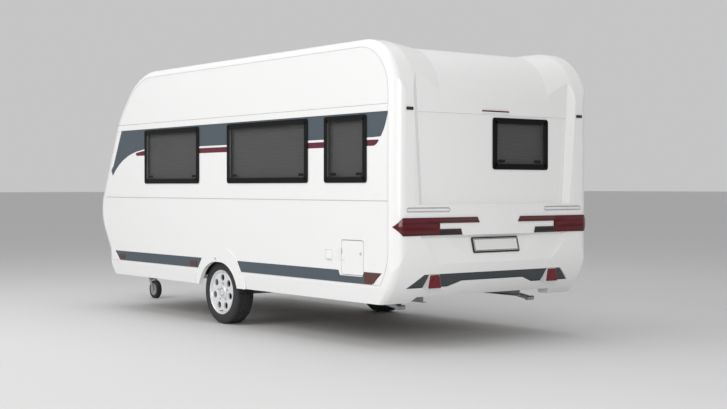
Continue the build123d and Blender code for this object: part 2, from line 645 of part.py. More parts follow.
def grab_handle():
    x = HANDLE_R + HANDLE_INSET
    middle = sum(HANDLE_Z) / 2
    ends = grown(HANDLE_Y, -HANDLE_R - HANDLE_INSET)
    bar = rod((x, ends[0], middle), (x, ends[1], middle), HANDLE_R)
    for foot in grown(ends, -HANDLE_DEPTH):
        bar = bar + rod((x, foot, middle), (HANDLE_DEPTH, foot, middle), HANDLE_R - HANDLE_INSET)
    return bar


save("grab_handles", *both(grab_handle()))

# The reflector pods stand upright and reach back to the dark band.
save("rear_reflectors", *both(yz_prism(REFLECTOR, *REFLECTOR_X) - bumper))
save("side_markers", *both(xz_prism(REAR_MARKER, HALF, HALF + MARKER_PROUD)),
     *[block(x, (HALF, HALF + MARKER_PROUD), MARKER_Z) for x in LEFT_MARKERS],
     *[mirrored(block(x, (HALF, HALF + MARKER_PROUD), MARKER_Z)) for x in RIGHT_MARKERS])
brake_light = block((REAR_RECESS - BRAKE_LIGHT_THICK, REAR_RECESS), around(0, BRAKE_LIGHT_HALF), BRAKE_LIGHT_Z)
save("end_markers", brake_light, *both(block((-END_MARKER_PROUD, 0), END_MARKER_Y, END_MARKER_Z)))

# ---- roof and wall fittings --------------------------------------------------------------
roof_floor = ROOF_Z - ROOF_RECESS


def rooflight(x, size):
    rim = size / 2 - ROOFLIGHT_RIM
    frame = block(around(x, size / 2), around(0, size / 2), (roof_floor, roof_floor + ROOFLIGHT_FRAME))
    dome = block(around(x, rim), around(0, rim),
                 (roof_floor + ROOFLIGHT_FRAME, roof_floor + ROOFLIGHT_FRAME + ROOFLIGHT_DOME))
    return frame + fillet(dome.edges().filter_by(Axis.Z), ROOFLIGHT_R)


save("rooflights", *[rooflight(x, size) for x, size in ROOFLIGHTS])


def vent(x, z):
    plate = xz_plate(around(x, VENT_HALF[0]), around(z, VENT_HALF[1]), VENT_R, -HALF - VENT_THICK, -HALF)
    half_length, half_height, depth = VENT_SLOT
    for row in range(VENT_SLOTS):
        slot_z = z + (row - (VENT_SLOTS - 1) / 2) * VENT_PITCH
        plate = plate - block(around(x, half_length), (-HALF - VENT_THICK - 1, -HALF - VENT_THICK + depth),
                              around(slot_z, half_height))
    return plate


save("fridge_vents", *[vent(VENT_X, z) for z in VENT_Z])

# ---- chassis ---------------------------------------------------------------------------
RAIL_TOP = FLOOR_Z
RAIL_FOOT = FLOOR_Z - RAIL_HEIGHT
RAIL_MIDDLE = RAIL_TOP - RAIL_HEIGHT / 2


def channel(start, end):
    """C-shaped rail between two points of its web line, flanges towards the middle."""
    along = (Vector(*end) - Vector(*start)).normalized()
    base = Plane(origin=Vector(*start), x_dir=along.cross(Vector(0, 0, 1)), z_dir=along)
    w, h, t = RAIL_FLANGE, RAIL_HEIGHT / 2, RAIL_WALL
    section = make_face(Polyline((0, -h), (w, -h), (w, t - h), (t, t - h), (t, h - t),
                                 (w, h - t), (w, h), (0, h), close=True))
    return extrude(base * section, amount=(Vector(*end) - Vector(*start)).length)


def beam_y(x):
    return RAIL_Y - (x - DRAWBAR_X) * (RAIL_Y - DRAWBAR_END_Y) / (DRAWBAR_END_X - DRAWBAR_X)


rail = channel((RAIL_REAR_X, RAIL_Y, RAIL_MIDDLE), (DRAWBAR_X, RAIL_Y, RAIL_MIDDLE))
beam_ends = grown((DRAWBAR_X, DRAWBAR_END_X), DRAWBAR_LAP)
beam = channel(*[(x, beam_y(x), RAIL_MIDDLE) for x in beam_ends])
beam = beam & zone(x=(DRAWBAR_X, DRAWBAR_END_X))
save("chassis_rails", *both(rail))
save("drawbar", *both(beam))
cross_half = RAIL_Y - RAIL_WALL - SEAT_GAP
save("cross_members", *[block(around(x, CROSS_HALF), around(0, cross_half),
                              (RAIL_FOOT + CROSS_INSET, RAIL_TOP - CROSS_INSET)) for x in CROSS_X])

tube_x = AXLE_X + ARM_LENGTH
tube_z = RAIL_FOOT - AXLE_TUBE_R
axle = rod((tube_x, -AXLE_HALF, tube_z), (tube_x, AXLE_HALF, tube_z), AXLE_TUBE_R)
for bracket in both(block(around(tube_x, AXLE_BRACKET), (RAIL_Y - RAIL_FLANGE, RAIL_Y), (tube_z, RAIL_FOOT))):
    axle = axle + bracket
save("axle_beam", axle)


def swing_arm():
    near, far = AXLE_HALF, AXLE_HALF + ARM_WIDTH
    tube_r, stub_r = ARM_R
    arm = rod((tube_x, near, tube_z), (tube_x, far, tube_z), tube_r)
    arm = arm + rod((AXLE_X, near, WHEEL_R), (AXLE_X, far, WHEEL_R), stub_r)
    web = xz_prism([(tube_x, tube_z + tube_r - 2), (AXLE_X, WHEEL_R + stub_r - 2),
                    (AXLE_X, WHEEL_R - stub_r + 2), (tube_x, tube_z - tube_r + 2)], near, far)
    stub = rod((AXLE_X, far, WHEEL_R), (AXLE_X, STUB_END_Y, WHEEL_R), STUB_R)
    plate = rod((AXLE_X, BACKPLATE_Y, WHEEL_R), (AXLE_X, BACKPLATE_Y + BACKPLATE_THICK, WHEEL_R), DRUM_R)
    return arm + web + stub + plate


save("swing_arms", *both(swing_arm()))

# ---- road wheels -----------------------------------------------------------------------
# Sections are given as offset along the axis (positive outwards) and radius.
HALF_TYRE = TYRE_WIDTH / 2
BEAD = 74.8
TYRE = [(-BEAD, 207.2), (-BEAD, RIM_R + 1), (4 - HALF_TYRE, RIM_R + 22), (-HALF_TYRE, 270),
        (12 - HALF_TYRE, 303), (30 - HALF_TYRE, WHEEL_R), (HALF_TYRE - 30, WHEEL_R),
        (HALF_TYRE - 12, 303), (HALF_TYRE, 270), (HALF_TYRE - 4, RIM_R + 22),
        (BEAD, RIM_R + 1), (BEAD, 207.2)]
RIM_BARREL = [(-85, 203), (-85, RIM_R), (-75, RIM_R), (-75, 207), (75, 207), (75, RIM_R), (85, RIM_R),
              (85, 203), (70, 196), (-70, 196)]
RIM_DISC = [(50, 0), (66, 0), (66, 70), (78, 110), (78, 196.5), (62, 196.5), (62, 112), (50, 72)]
RIM_CAP = [(66, 0), (84, 0), (84, 45), (74, 62), (66, 62)]
DISC_SPAN = (40.0, 100.0)
DRUM = [(-36, STUB_R + 1), (49.7, STUB_R + 1), (49.7, 60), (30, DRUM_R), (-36, DRUM_R)]


def turned(points, side):
    """Ring turned about the wheel axis; side is 1 for the left wheel, -1 for the right."""
    face = make_face(Polyline(*[(r, side * a) for a, r in points], close=True))
    return Pos(AXLE_X, side * WHEEL_Y, WHEEL_R) * revolve(Plane.XY * face, axis=Axis.Y)


def rim(side):
    disc = turned(RIM_DISC, side)
    near, far = [side * (WHEEL_Y + offset) for offset in DISC_SPAN]
    for index in range(WINDOWS_PER_RIM):
        angle = radians(index * 360 / WINDOWS_PER_RIM)
        x = AXLE_X + WINDOW_CIRCLE_R * sin(angle)
        z = WHEEL_R + WINDOW_CIRCLE_R * cos(angle)
        disc = disc - rod((x, near, z), (x, far, z), WINDOW_HOLE_R)
    return turned(RIM_BARREL, side) + disc + turned(RIM_CAP, side)


for name, side in (("left", 1), ("right", -1)):
    save(f"tyre_{name}", turned(TYRE, side))
    save(f"rim_{name}", rim(side))
    save(f"brake_drum_{name}", turned(DRUM, side))

# ---- front window ------------------------------------------------------------------------
rake_run = NOSE_X - RAKE_TOP[0]
rake_drop = RAKE_TOP[1] - NOSE_Z
rake_plane = Plane(origin=(rake_x(FRONT_WINDOW_Z), 0, FRONT_WINDOW_Z), x_dir=(0, 1, 0),
                   z_dir=(rake_drop, 0, rake_run))


def rake_plate(lap, inner, outer):
    face = RectangleRounded(FRONT_WINDOW[0] - 2 * lap, FRONT_WINDOW[1] - 2 * lap, FRONT_WINDOW_R - lap)
    return extrude(rake_plane.offset(inner) * face, amount=outer - inner)


save("front_wall", front_wall - rake_plate(WINDOW_LAP, -2 * FRONT_WALL, FRONT_WALL))
save("window_front", rake_plate(0, 0, PANE_PROUD))


# ---- door, flap and lid --------------------------------------------------------------------
def knuckle(x, z, toward, sink=0):
    """Hinge knuckle outside the left wall, its leaf going to +x or -x from the pin line."""
    height = (z, z + KNUCKLE)
    near, far = HINGE_LEAF
    pin = rod((x, HALF + HINGE_OUT, height[0]), (x, HALF + HINGE_OUT, height[1]), HINGE_R)
    leaf = block(sorted((x + toward * near, x + toward * far)), (HALF - sink, HALF + HINGE_LEAF_THICK), height)
    neck = block(sorted((x + toward * near, x + toward * HINGE_R)),
                 (HALF + HINGE_LEAF_THICK / 2, HALF + HINGE_OUT), height)
    return pin + leaf + neck


door_pin_x = DOOR_X[1] + PANEL_GAP / 2
flap_pin_x = FLAP_X[1] + PANEL_GAP / 2
leaf = xz_plate(DOOR_X, DOOR_Z, DOOR_R, -HALF, -INNER)
leaf = leaf - xz_plate(grown(DOOR_WINDOW_X, -WINDOW_LAP), grown(DOOR_WINDOW_Z, -WINDOW_LAP),
                       DOOR_WINDOW_R - WINDOW_LAP, -2 * HALF, 0)
fixed = []
for z in DOOR_HINGE_Z:
    leaf = leaf + mirrored(knuckle(door_pin_x, z, -1))
    fixed.append(mirrored(knuckle(door_pin_x, z + KNUCKLE + KNUCKLE_GAP, 1)))
save("door_leaf", leaf)
save("door_window", xz_plate(DOOR_WINDOW_X, DOOR_WINDOW_Z, DOOR_WINDOW_R, -HALF - DOOR_PANE, -HALF))
save("door_handle", xz_plate(around(LOCK_X, LOCK_HALF), LOCK_Z, LOCK_HALF / 2, -HALF - LOCK_PROUD, -HALF))
for z in FLAP_HINGE_Z:
    flap = flap + knuckle(flap_pin_x, z, -1)
    fixed.append(knuckle(flap_pin_x, z + KNUCKLE + KNUCKLE_GAP, 1))
save("service_flap", flap)
lid_pin_z = LID_Z[1] + PANEL_GAP / 2
lid_pin = Plane(origin=(rake_x(lid_pin_z), 0, lid_pin_z), x_dir=(rake_run, 0, -rake_drop), z_dir=(0, -1, 0))


def lid_knuckle(y, toward, sink=0):
    return Pos(0, y, 0) * (lid_pin * (Pos(0, -HALF, 0) * knuckle(0, 0, toward, sink)))


for y in LID_HINGE_Y:
    lid = lid + lid_knuckle(y, 1, LID_HINGE_SINK)
    fixed.append(lid_knuckle(y - KNUCKLE - KNUCKLE_GAP, -1))
save("hinge_knuckles", *fixed)
save("gas_locker_lid", lid)


# ---- corner steadies -------------------------------------------------------------------------
def steady(x, toward, side):
    y = side * STEADY_Y
    half_width, half_height = STEADY_HALF
    near_x, foot_x = x + toward * STEADY_START, x + toward * STEADY_REACH
    leg = xz_prism([(near_x, STEADY_Z + half_height), (foot_x, STEADY_FOOT_Z + half_height),
                    (foot_x, STEADY_FOOT_Z - half_height), (near_x, STEADY_Z - half_height)],
                   y - half_width, y + half_width)
    boss = rod((x, y - half_width, STEADY_Z), (x, y + half_width, STEADY_Z), STEADY_BOSS_R)
    foot = rod((foot_x, y - STEADY_FOOT_HALF, STEADY_FOOT_Z), (foot_x, y + STEADY_FOOT_HALF, STEADY_FOOT_Z),
               STEADY_FOOT_R)
    bore = rod((x, y - STEADY_FOOT_HALF, STEADY_Z), (x, y + STEADY_FOOT_HALF, STEADY_Z),
               STEADY_PIN_R + ROD_CLEAR)
    return leg + boss + foot - bore


def steady_bracket(x, side):
    y = side * STEADY_Y
    near, far = BRACKET_CHEEK
    bracket = rod((x, y - far - 2, STEADY_Z), (x, y + far + 2, STEADY_Z), STEADY_PIN_R)
    bracket = bracket + block(around(x, BRACKET_HALF), around(y, far), (FLOOR_Z - (far - near), FLOOR_Z))
    for edge in (-1, 1):
        cheek_y = sorted((y + edge * near, y + edge * far))
        bracket = bracket + block(around(x, BRACKET_HALF), cheek_y, (STEADY_Z - BRACKET_DROP, FLOOR_Z))
    return bracket


corners = [("rear", STEADY_X[0], -1), ("front", STEADY_X[1], 1)]
for end, x, toward in corners:
    for name, side in (("left", 1), ("right", -1)):
        save(f"steady_{end}_{name}", steady(x, toward, side))
save("steady_brackets", *[steady_bracket(x, side) for _, x, _ in corners for side in (1, -1)])

# ---- overrun hitch and coupling ----------------------------------------------------------------
housing = block(HOUSING_X, around(0, HOUSING_HALF), (RAIL_TOP, TOW_Z + HOUSING_RISE))
save("overrun_housing", fillet(housing.edges().filter_by(Axis.X), HOUSING_HALF / 4))
save("bellows", rod((HOUSING_X[1], 0, TOW_Z), (SLEEVE_X[0], 0, TOW_Z), SLEEVE_R)
     - rod((HOUSING_X[1] - 1, 0, TOW_Z), (SLEEVE_X[0] + 1, 0, TOW_Z), TOW_TUBE_R))
save("draw_tube", rod((HOUSING_X[1], 0, TOW_Z), (SLEEVE_X[1], 0, TOW_Z), TOW_TUBE_R))

cup = rod((BALL_X, 0, BALL_Z + CUP_HEIGHT[0]), (BALL_X, 0, BALL_Z + CUP_HEIGHT[1]), CUP_R)
cup = fillet(cup.edges().sort_by(Axis.Z)[-1], CUP_ROUND)
neck = block((SLEEVE_X[1] - 12, BALL_X), around(0, SLEEVE_R - 4), (BALL_Z - 6, TOW_Z + 24))
sleeve = rod((SLEEVE_X[0], 0, TOW_Z), (SLEEVE_X[1], 0, TOW_Z), SLEEVE_R)
grip = xz_prism([(BALL_X + dx, TOW_Z + dz) for dx, dz in GRIP], -GRIP_HALF, GRIP_HALF)
socket = rod((BALL_X, 0, BALL_Z - 2 * BALL_R), (BALL_X, 0, BALL_Z), BALL_R + BALL_CLEAR)
socket = socket + Pos(BALL_X, 0, BALL_Z) * Sphere(BALL_R + BALL_CLEAR)
tube_way = rod((SLEEVE_X[0] - 1, 0, TOW_Z), (SLEEVE_X[1], 0, TOW_Z), TOW_TUBE_R)
save("coupling_head", cup + neck + sleeve + grip - socket - tube_way)
lever_reach, lever_rise = LEVER_TOP
lever = rod((LEVER_X, LEVER_Y, TOW_Z + 30), (LEVER_X + lever_reach, LEVER_Y, TOW_Z + lever_rise), LEVER_R)
lever_base = block(around(LEVER_X, 30), (HOUSING_HALF, LEVER_Y + 14), (TOW_Z + 4, TOW_Z + 44))
save("handbrake_lever", lever + lever_base)

# ---- jockey wheel --------------------------------------------------------------------------------
rod_foot = FORK_TOP_Z + ROD_CLEAR
tube = rod((JOCKEY_X, JOCKEY_Y, RAIL_FOOT), (JOCKEY_X, JOCKEY_Y, JOCKEY_TOP_Z), JOCKEY_TUBE_R)
tube = tube - rod((JOCKEY_X, JOCKEY_Y, RAIL_FOOT - 1), (JOCKEY_X, JOCKEY_Y, JOCKEY_TOP_Z - 20),
                  JOCKEY_ROD_R + ROD_CLEAR)
crank_end = JOCKEY_X + CRANK_REACH
crank = block((JOCKEY_X - KNOB_R, crank_end + 10), around(JOCKEY_Y, CRANK_HALF),
              (JOCKEY_TOP_Z, JOCKEY_TOP_Z + CRANK_THICK))
knob = rod((crank_end, JOCKEY_Y, JOCKEY_TOP_Z + 8), (crank_end, JOCKEY_Y, JOCKEY_TOP_Z + KNOB_HEIGHT), KNOB_R)
clamp_x = around(JOCKEY_X, CLAMP_HALF)
clamp_plan = [(x, beam_y(x) + SEAT_GAP) for x in clamp_x]
clamp_plan = clamp_plan + [(clamp_x[1], JOCKEY_Y + CLAMP_OUT), (clamp_x[0], JOCKEY_Y + CLAMP_OUT)]
clamp = extrude(Plane.XY.offset(RAIL_FOOT + 8) * make_face(Polyline(*clamp_plan, close=True)),
                amount=RAIL_HEIGHT - 16)
clamp = clamp - rod((JOCKEY_X, JOCKEY_Y, 0), (JOCKEY_X, JOCKEY_Y, ROOF_Z), JOCKEY_ROD_R + ROD_CLEAR)
save("jockey_clamp", tube + crank + knob + clamp)
inner_rod = rod((JOCKEY_X, JOCKEY_Y, rod_foot), (JOCKEY_X, JOCKEY_Y, JOCKEY_TOP_Z - JOCKEY_ROD_DROP),
                JOCKEY_ROD_R)
spigot = rod((JOCKEY_X, JOCKEY_Y, FORK_TOP_Z - 14), (JOCKEY_X, JOCKEY_Y, rod_foot), SPIGOT_R)
save("jockey_rod", inner_rod + spigot)

hub_x = JOCKEY_X - JOCKEY_TRAIL
fork_in = JOCKEY_WHEEL_WIDTH / 2 + FORK_CLEAR
fork_out = fork_in + FORK_WALL
crown = block(around(JOCKEY_X, FORK_HALF), around(JOCKEY_Y, fork_out), (FORK_TOP_Z - 10, FORK_TOP_Z))
fork = crown - rod((JOCKEY_X, JOCKEY_Y, 0), (JOCKEY_X, JOCKEY_Y, ROOF_Z), SPIGOT_R + ROD_CLEAR)
cheek = [(JOCKEY_X - FORK_HALF, FORK_TOP_Z), (JOCKEY_X + FORK_HALF, FORK_TOP_Z),
         (hub_x + 16, JOCKEY_WHEEL_R - 12), (hub_x - 16, JOCKEY_WHEEL_R - 12), (hub_x - 16, JOCKEY_WHEEL_R + 12)]
for edge in (-1, 1):
    fork = fork + xz_prism(cheek, *sorted((JOCKEY_Y + edge * fork_in, JOCKEY_Y + edge * fork_out)))
hub_pin = rod((hub_x, JOCKEY_Y - fork_out, JOCKEY_WHEEL_R), (hub_x, JOCKEY_Y + fork_out, JOCKEY_WHEEL_R), HUB_R)
save("jockey_fork", fork + hub_pin)
tread = Pos(hub_x, JOCKEY_Y, JOCKEY_WHEEL_R) * Rot(90, 0, 0) * Cylinder(JOCKEY_WHEEL_R, JOCKEY_WHEEL_WIDTH)
tread = fillet(tread.edges().filter_by(GeomType.CIRCLE), 12)
bore = rod((hub_x, JOCKEY_Y - fork_in, JOCKEY_WHEEL_R), (hub_x, JOCKEY_Y + fork_in, JOCKEY_WHEEL_R),
           HUB_R + ROD_CLEAR)
save("jockey_wheel", tread - bore)
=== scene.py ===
import math

import bpy
from mathutils import Matrix, Vector


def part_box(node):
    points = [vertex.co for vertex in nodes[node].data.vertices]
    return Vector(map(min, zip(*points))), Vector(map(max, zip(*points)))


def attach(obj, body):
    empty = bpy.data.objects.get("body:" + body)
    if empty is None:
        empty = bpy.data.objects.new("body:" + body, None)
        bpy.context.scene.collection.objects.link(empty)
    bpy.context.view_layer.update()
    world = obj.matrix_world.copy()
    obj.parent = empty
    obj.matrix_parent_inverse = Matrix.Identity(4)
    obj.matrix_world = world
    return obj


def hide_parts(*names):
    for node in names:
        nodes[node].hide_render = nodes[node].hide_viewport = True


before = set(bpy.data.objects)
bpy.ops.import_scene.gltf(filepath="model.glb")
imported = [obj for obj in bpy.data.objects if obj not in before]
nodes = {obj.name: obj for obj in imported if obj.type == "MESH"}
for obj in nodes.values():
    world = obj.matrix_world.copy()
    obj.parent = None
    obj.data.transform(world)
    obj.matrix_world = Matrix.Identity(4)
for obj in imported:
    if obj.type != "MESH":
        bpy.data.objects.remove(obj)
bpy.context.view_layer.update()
bpy.ops.object.select_all(action="DESELECT")


# ---- Stage and camera --------------------------------------------------------------
# A pale studio floor, a big soft light over each side, and the camera that stands
# behind the rear left corner at eye height.
rear_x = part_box("rear_bumper")[0].x
FLOOR_SIZE = 600
FLOOR_COLOUR = (0.62, 0.62, 0.62, 1.0)
FLOOR_ROUGHNESS = 0.7
bpy.ops.mesh.primitive_plane_add(size=FLOOR_SIZE, location=(0, 0, 0))
floor = bpy.context.object
floor.name = "studio_floor"
floor_paint = bpy.data.materials.new("studio_floor")
floor_paint.use_nodes = True
floor_shader = floor_paint.node_tree.nodes["Principled BSDF"]
floor_shader.inputs["Base Color"].default_value = FLOOR_COLOUR
floor_shader.inputs["Roughness"].default_value = FLOOR_ROUGHNESS
floor.data.materials.append(floor_paint)

SURROUND_STRENGTH = 0.56
world = bpy.data.worlds.new("studio")
world.use_nodes = True
surround = world.node_tree.nodes["Background"]
surround.inputs["Color"].default_value = (1.0, 1.0, 1.0, 1.0)
surround.inputs["Strength"].default_value = SURROUND_STRENGTH
bpy.context.scene.world = world
bpy.context.scene.view_settings.view_transform = "Standard"

# Each softbox: name, place, edge in metres, watts.
LIGHTS = [
    ("left_softbox", (0.5, 9.5, 6.0), 7.0, 500.0),
    ("rear_softbox", (-10.5, 5.5, 3.0), 4.0, 320.0),
    ("top_softbox", (0.0, 0.0, 9.0), 8.0, 260.0),
]
LIGHT_TARGET = Vector((0.0, 0.0, 1.2))
for name, place, size, power in LIGHTS:
    lamp = bpy.data.lights.new(name, "AREA")
    lamp.size = size
    lamp.energy = power
    softbox = bpy.data.objects.new(name, lamp)
    softbox.location = place
    softbox.rotation_euler = (LIGHT_TARGET - Vector(place)).to_track_quat("-Z", "Y").to_euler()
    bpy.context.scene.collection.objects.link(softbox)

FRAME_PIXELS = 727
FOCAL_PIXELS = 1259.7
SENSOR = 36.0
HEADING = math.radians(-37.625)
PITCH = math.radians(-0.80)
EYE_PLACE = (rear_x - 7.966, 7.627, 1.366)
eye = bpy.data.cameras.new("eye")
eye.sensor_width = SENSOR
eye.lens = FOCAL_PIXELS * SENSOR / FRAME_PIXELS
camera = bpy.data.objects.new("eye", eye)
camera.location = EYE_PLACE
look = Vector((math.cos(HEADING) * math.cos(PITCH), math.sin(HEADING) * math.cos(PITCH),
               math.sin(PITCH)))
camera.rotation_euler = look.to_track_quat("-Z", "Y").to_euler()
bpy.context.scene.collection.objects.link(camera)
bpy.context.scene.camera = camera


# ---- Coachwork -----------------------------------------------------------------------
# White sandwich walls, a moulded roof, nose and rear. The skin is smooth lacquered
# sheet with a faint orange peel, and a thin grey bead seals each side sheet's edge.
half_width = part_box("side_wall_left")[1].y


def mottle_group():
    """Colour, roughness and height that wander gently over a surface."""
    group = bpy.data.node_groups.new("surface_mottle", "ShaderNodeTree")
    inputs = [("Color", "NodeSocketColor", (0.8, 0.8, 0.8, 1.0)),
              ("Shade", "NodeSocketFloat", 0.96),
              ("Scale", "NodeSocketFloat", 4.0), ("Grain Scale", "NodeSocketFloat", 300.0),
              ("Roughness", "NodeSocketFloat", 0.3), ("Spread", "NodeSocketFloat", 0.05)]
    for label, kind, value in inputs:
        socket = group.interface.new_socket(label, in_out="INPUT", socket_type=kind)
        socket.default_value = value
    for label, kind in (("Color", "NodeSocketColor"), ("Roughness", "NodeSocketFloat"),
                        ("Height", "NodeSocketFloat")):
        group.interface.new_socket(label, in_out="OUTPUT", socket_type=kind)
    make, link = group.nodes.new, group.links.new
    enter, leave = make("NodeGroupInput"), make("NodeGroupOutput")
    place = make("ShaderNodeTexCoord")
    wander, grain = make("ShaderNodeTexNoise"), make("ShaderNodeTexNoise")
    wander.inputs["Detail"].default_value = 4.0
    grain.inputs["Detail"].default_value = 2.0
    link(place.outputs["Object"], wander.inputs["Vector"])
    link(place.outputs["Object"], grain.inputs["Vector"])
    link(enter.outputs["Scale"], wander.inputs["Scale"])
    link(enter.outputs["Grain Scale"], grain.inputs["Scale"])
    darker = make("ShaderNodeVectorMath")
    darker.operation = "SCALE"
    link(enter.outputs["Color"], darker.inputs[0])
    link(enter.outputs["Shade"], darker.inputs["Scale"])
    blend = make("ShaderNodeMix")
    blend.data_type = "RGBA"
    link(wander.outputs["Fac"], blend.inputs["Factor"])
    link(darker.outputs[0], blend.inputs["A"])
    link(enter.outputs["Color"], blend.inputs["B"])
    link(blend.outputs["Result"], leave.inputs["Color"])
    swing = make("ShaderNodeMath")
    swing.operation = "MULTIPLY_ADD"
    link(wander.outputs["Fac"], swing.inputs[0])
    link(enter.outputs["Spread"], swing.inputs[1])
    link(enter.outputs["Roughness"], swing.inputs[2])
    link(swing.outputs[0], leave.inputs["Roughness"])
    link(grain.outputs["Fac"], leave.inputs["Height"])
    return group


mottle = mottle_group()


def finish(name, colour, roughness, shade=0.96, scale=4.0, grain=300.0, bump=0.02, depth=0.0002,
           spread=0.05, metallic=0.0, coat=0.0, specular=0.5):
    """A material whose colour, roughness and relief come from the mottle group."""
    material = bpy.data.materials.new(name)
    material.use_nodes = True
    make, link = material.node_tree.nodes.new, material.node_tree.links.new
    shader = material.node_tree.nodes["Principled BSDF"]
    surface = make("ShaderNodeGroup")
    surface.node_tree = mottle
    surface.name = "surface"
    for label, value in (("Color", (*colour, 1.0)), ("Shade", shade), ("Scale", scale),
                         ("Grain Scale", grain), ("Roughness", roughness), ("Spread", spread)):
        surface.inputs[label].default_value = value
    relief = make("ShaderNodeBump")
    relief.name = "relief"
    relief.inputs["Strength"].default_value = bump
    relief.inputs["Distance"].default_value = depth
    link(surface.outputs["Color"], shader.inputs["Base Color"])
    link(surface.outputs["Roughness"], shader.inputs["Roughness"])
    link(surface.outputs["Height"], relief.inputs["Height"])
    link(relief.outputs["Normal"], shader.inputs["Normal"])
    shader.inputs["Metallic"].default_value = metallic
    shader.inputs["Coat Weight"].default_value = coat
    shader.inputs["Coat Roughness"].default_value = 0.08
    shader.inputs["Specular IOR Level"].default_value = specular
    return material


def dress(material, *names):
    """Gives each named node of the frame one finish."""
    for name in names:
        for slot in nodes[name].material_slots:
            slot.material = material


def choose(piece):
    """Makes one piece the only selected and active one."""
    bpy.ops.object.select_all(action="DESELECT")
    piece.select_set(True)
    bpy.context.view_layer.objects.active = piece


def settle(piece, name, material, body):
    """Names a finished piece, puts its place in its mesh, and fixes it to its body."""
    piece.name = piece.data.name = name
    piece.data.materials.clear()
    piece.data.materials.append(material)
    choose(piece)
    bpy.ops.object.transform_apply(location=True, rotation=True, scale=True)
    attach(piece, body)
    return piece


MERGE_WITHIN = 0.00005


def copy_of(node):
    """A merged copy of a node's mesh, as a piece of its own."""
    piece = nodes[node].copy()
    piece.data = nodes[node].data.copy()
    for key in list(piece.keys()):
        del piece[key]
    bpy.context.scene.collection.objects.link(piece)
    piece.hide_viewport = piece.hide_render = False
    piece.hide_set(False)
    choose(piece)
    bpy.ops.object.mode_set(mode="EDIT")
    bpy.ops.mesh.select_all(action="SELECT")
    bpy.ops.mesh.remove_doubles(threshold=MERGE_WITHIN)
    bpy.ops.object.mode_set(mode="OBJECT")
    return piece


def pick(piece, test, mode="FACE"):
    """Selects the faces or vertices that pass the test, and leaves the piece in edit mode."""
    bpy.ops.object.mode_set(mode="EDIT")
    bpy.ops.mesh.select_mode(type=mode)
    bpy.ops.mesh.select_all(action="DESELECT")
    bpy.ops.object.mode_set(mode="OBJECT")
    for item in (piece.data.polygons if mode == "FACE" else piece.data.vertices):
        item.select = test(item)
    bpy.ops.object.mode_set(mode="EDIT")


coach_white = finish("coach_white", (0.80, 0.80, 0.795), 0.34, shade=0.985, scale=1.3, grain=260.0,
                     bump=0.08, depth=0.0003, coat=0.3)
dress(coach_white, "roof", "rear_wall", "rear_bumper", "front_wall", "side_wall_left",
      "side_wall_right", "skirts", "front_apron", "wall_strips", "grab_handles")

# A grey for real seals, beads, locks and screws, also used as painted shade for the crease and seam
# lines.
seam_and_shade_grey = finish("seam_and_shade_grey", (0.50, 0.505, 0.51), 0.5, shade=0.9, scale=9.0, spread=0.1)
BEAD_R = 0.0022
# Where a side sheet is open and takes no bead: from and to station, low and high.
SHEET_OPENINGS = ((0.30, 4.70, 1.30, 2.10), (0.38, 0.80, 0.58, 0.95), (3.20, 4.00, 0.546, 2.30))
for side, hand in ((1, "left"), (-1, "right")):
    bead = copy_of(f"side_wall_{hand}")
    pick(bead, lambda face: (face.normal.y * side > 0.999
                             and face.center.y * side > half_width - 0.001))
    bpy.ops.mesh.region_to_loop()
    bpy.ops.mesh.duplicate()
    bpy.ops.mesh.select_all(action="INVERT")
    bpy.ops.mesh.delete(type="VERT")
    pick(bead, lambda spot: any(rear_x + a < spot.co.x < rear_x + b and low < spot.co.z < high
                                for a, b, low, high in SHEET_OPENINGS), mode="VERT")
    bpy.ops.mesh.delete(type="VERT")
    bpy.ops.object.mode_set(mode="OBJECT")
    bpy.ops.object.convert(target="CURVE")
    bead = bpy.context.object
    bead.data.bevel_depth = BEAD_R
    bead.data.bevel_resolution = 1
    bpy.ops.object.convert(target="MESH")
    bead = bpy.context.object
    bpy.ops.object.shade_smooth()
    settle(bead, f"sheet_bead_{hand}", seam_and_shade_grey, "caravan")


# ---- Creases -------------------------------------------------------------------------
# A pressed line runs along the sides below the windows. It is a narrow rounded rib in
# the sheet, cut where the door and the upper refrigerator vent interrupt it, and coloured
# grey as painted shade for the crease's shadow line. A second, under the roof strip, is
# the seam between the sheet and the strip, also a grey line of painted shadow.
SHARP = math.radians(35)


def soften(piece, width, segments=2):
    """Rounds a piece's sharp edges."""
    choose(piece)
    round_off = piece.modifiers.new("round_off", "BEVEL")
    round_off.width = width
    round_off.segments = segments
    round_off.limit_method = "ANGLE"
    round_off.angle_limit = SHARP
    bpy.ops.object.modifier_apply(modifier="round_off")
    bpy.ops.object.shade_smooth_by_angle(angle=SHARP)


def block(name, low, high, edge, material, body="caravan"):
    """A solid bar or plate between two corners, with rounded edges."""
    middle = [(a + b) / 2 for a, b in zip(low, high)]
    bpy.ops.mesh.primitive_cube_add(size=1, location=middle)
    piece = bpy.context.object
    piece.scale = [abs(b - a) for a, b in zip(low, high)]
    choose(piece)
    bpy.ops.object.transform_apply(location=True, rotation=True, scale=True)
    soften(piece, edge)
    return settle(piece, name, material, body)


CREASE_Z = 1.2505
CREASE_HALF = 0.0035
CREASE_PROUD = 0.003
CREASE_ROUND = 0.0015
SKIN_LAP = 0.001
# Each run of the crease: side, name, from and to station, body.
CREASES = [(1, "left", 0.110, 5.262, "caravan"), (-1, "right_rear", 0.110, 2.018, "caravan"),
           (-1, "right_middle", 2.482, 3.292, "caravan"), (-1, "door", 3.308, 3.892, "door"),
           (-1, "right_front", 3.908, 5.262, "caravan")]
# Each run is painted grey: painted shade standing in for the crease's shadow line.
for side, place, start, end, body in CREASES:
    block(f"crease_shade_line_{place}",
          (rear_x + start, side * (half_width - SKIN_LAP), CREASE_Z - CREASE_HALF),
          (rear_x + end, side * (half_width + CREASE_PROUD), CREASE_Z + CREASE_HALF),
          CREASE_ROUND, seam_and_shade_grey, body)
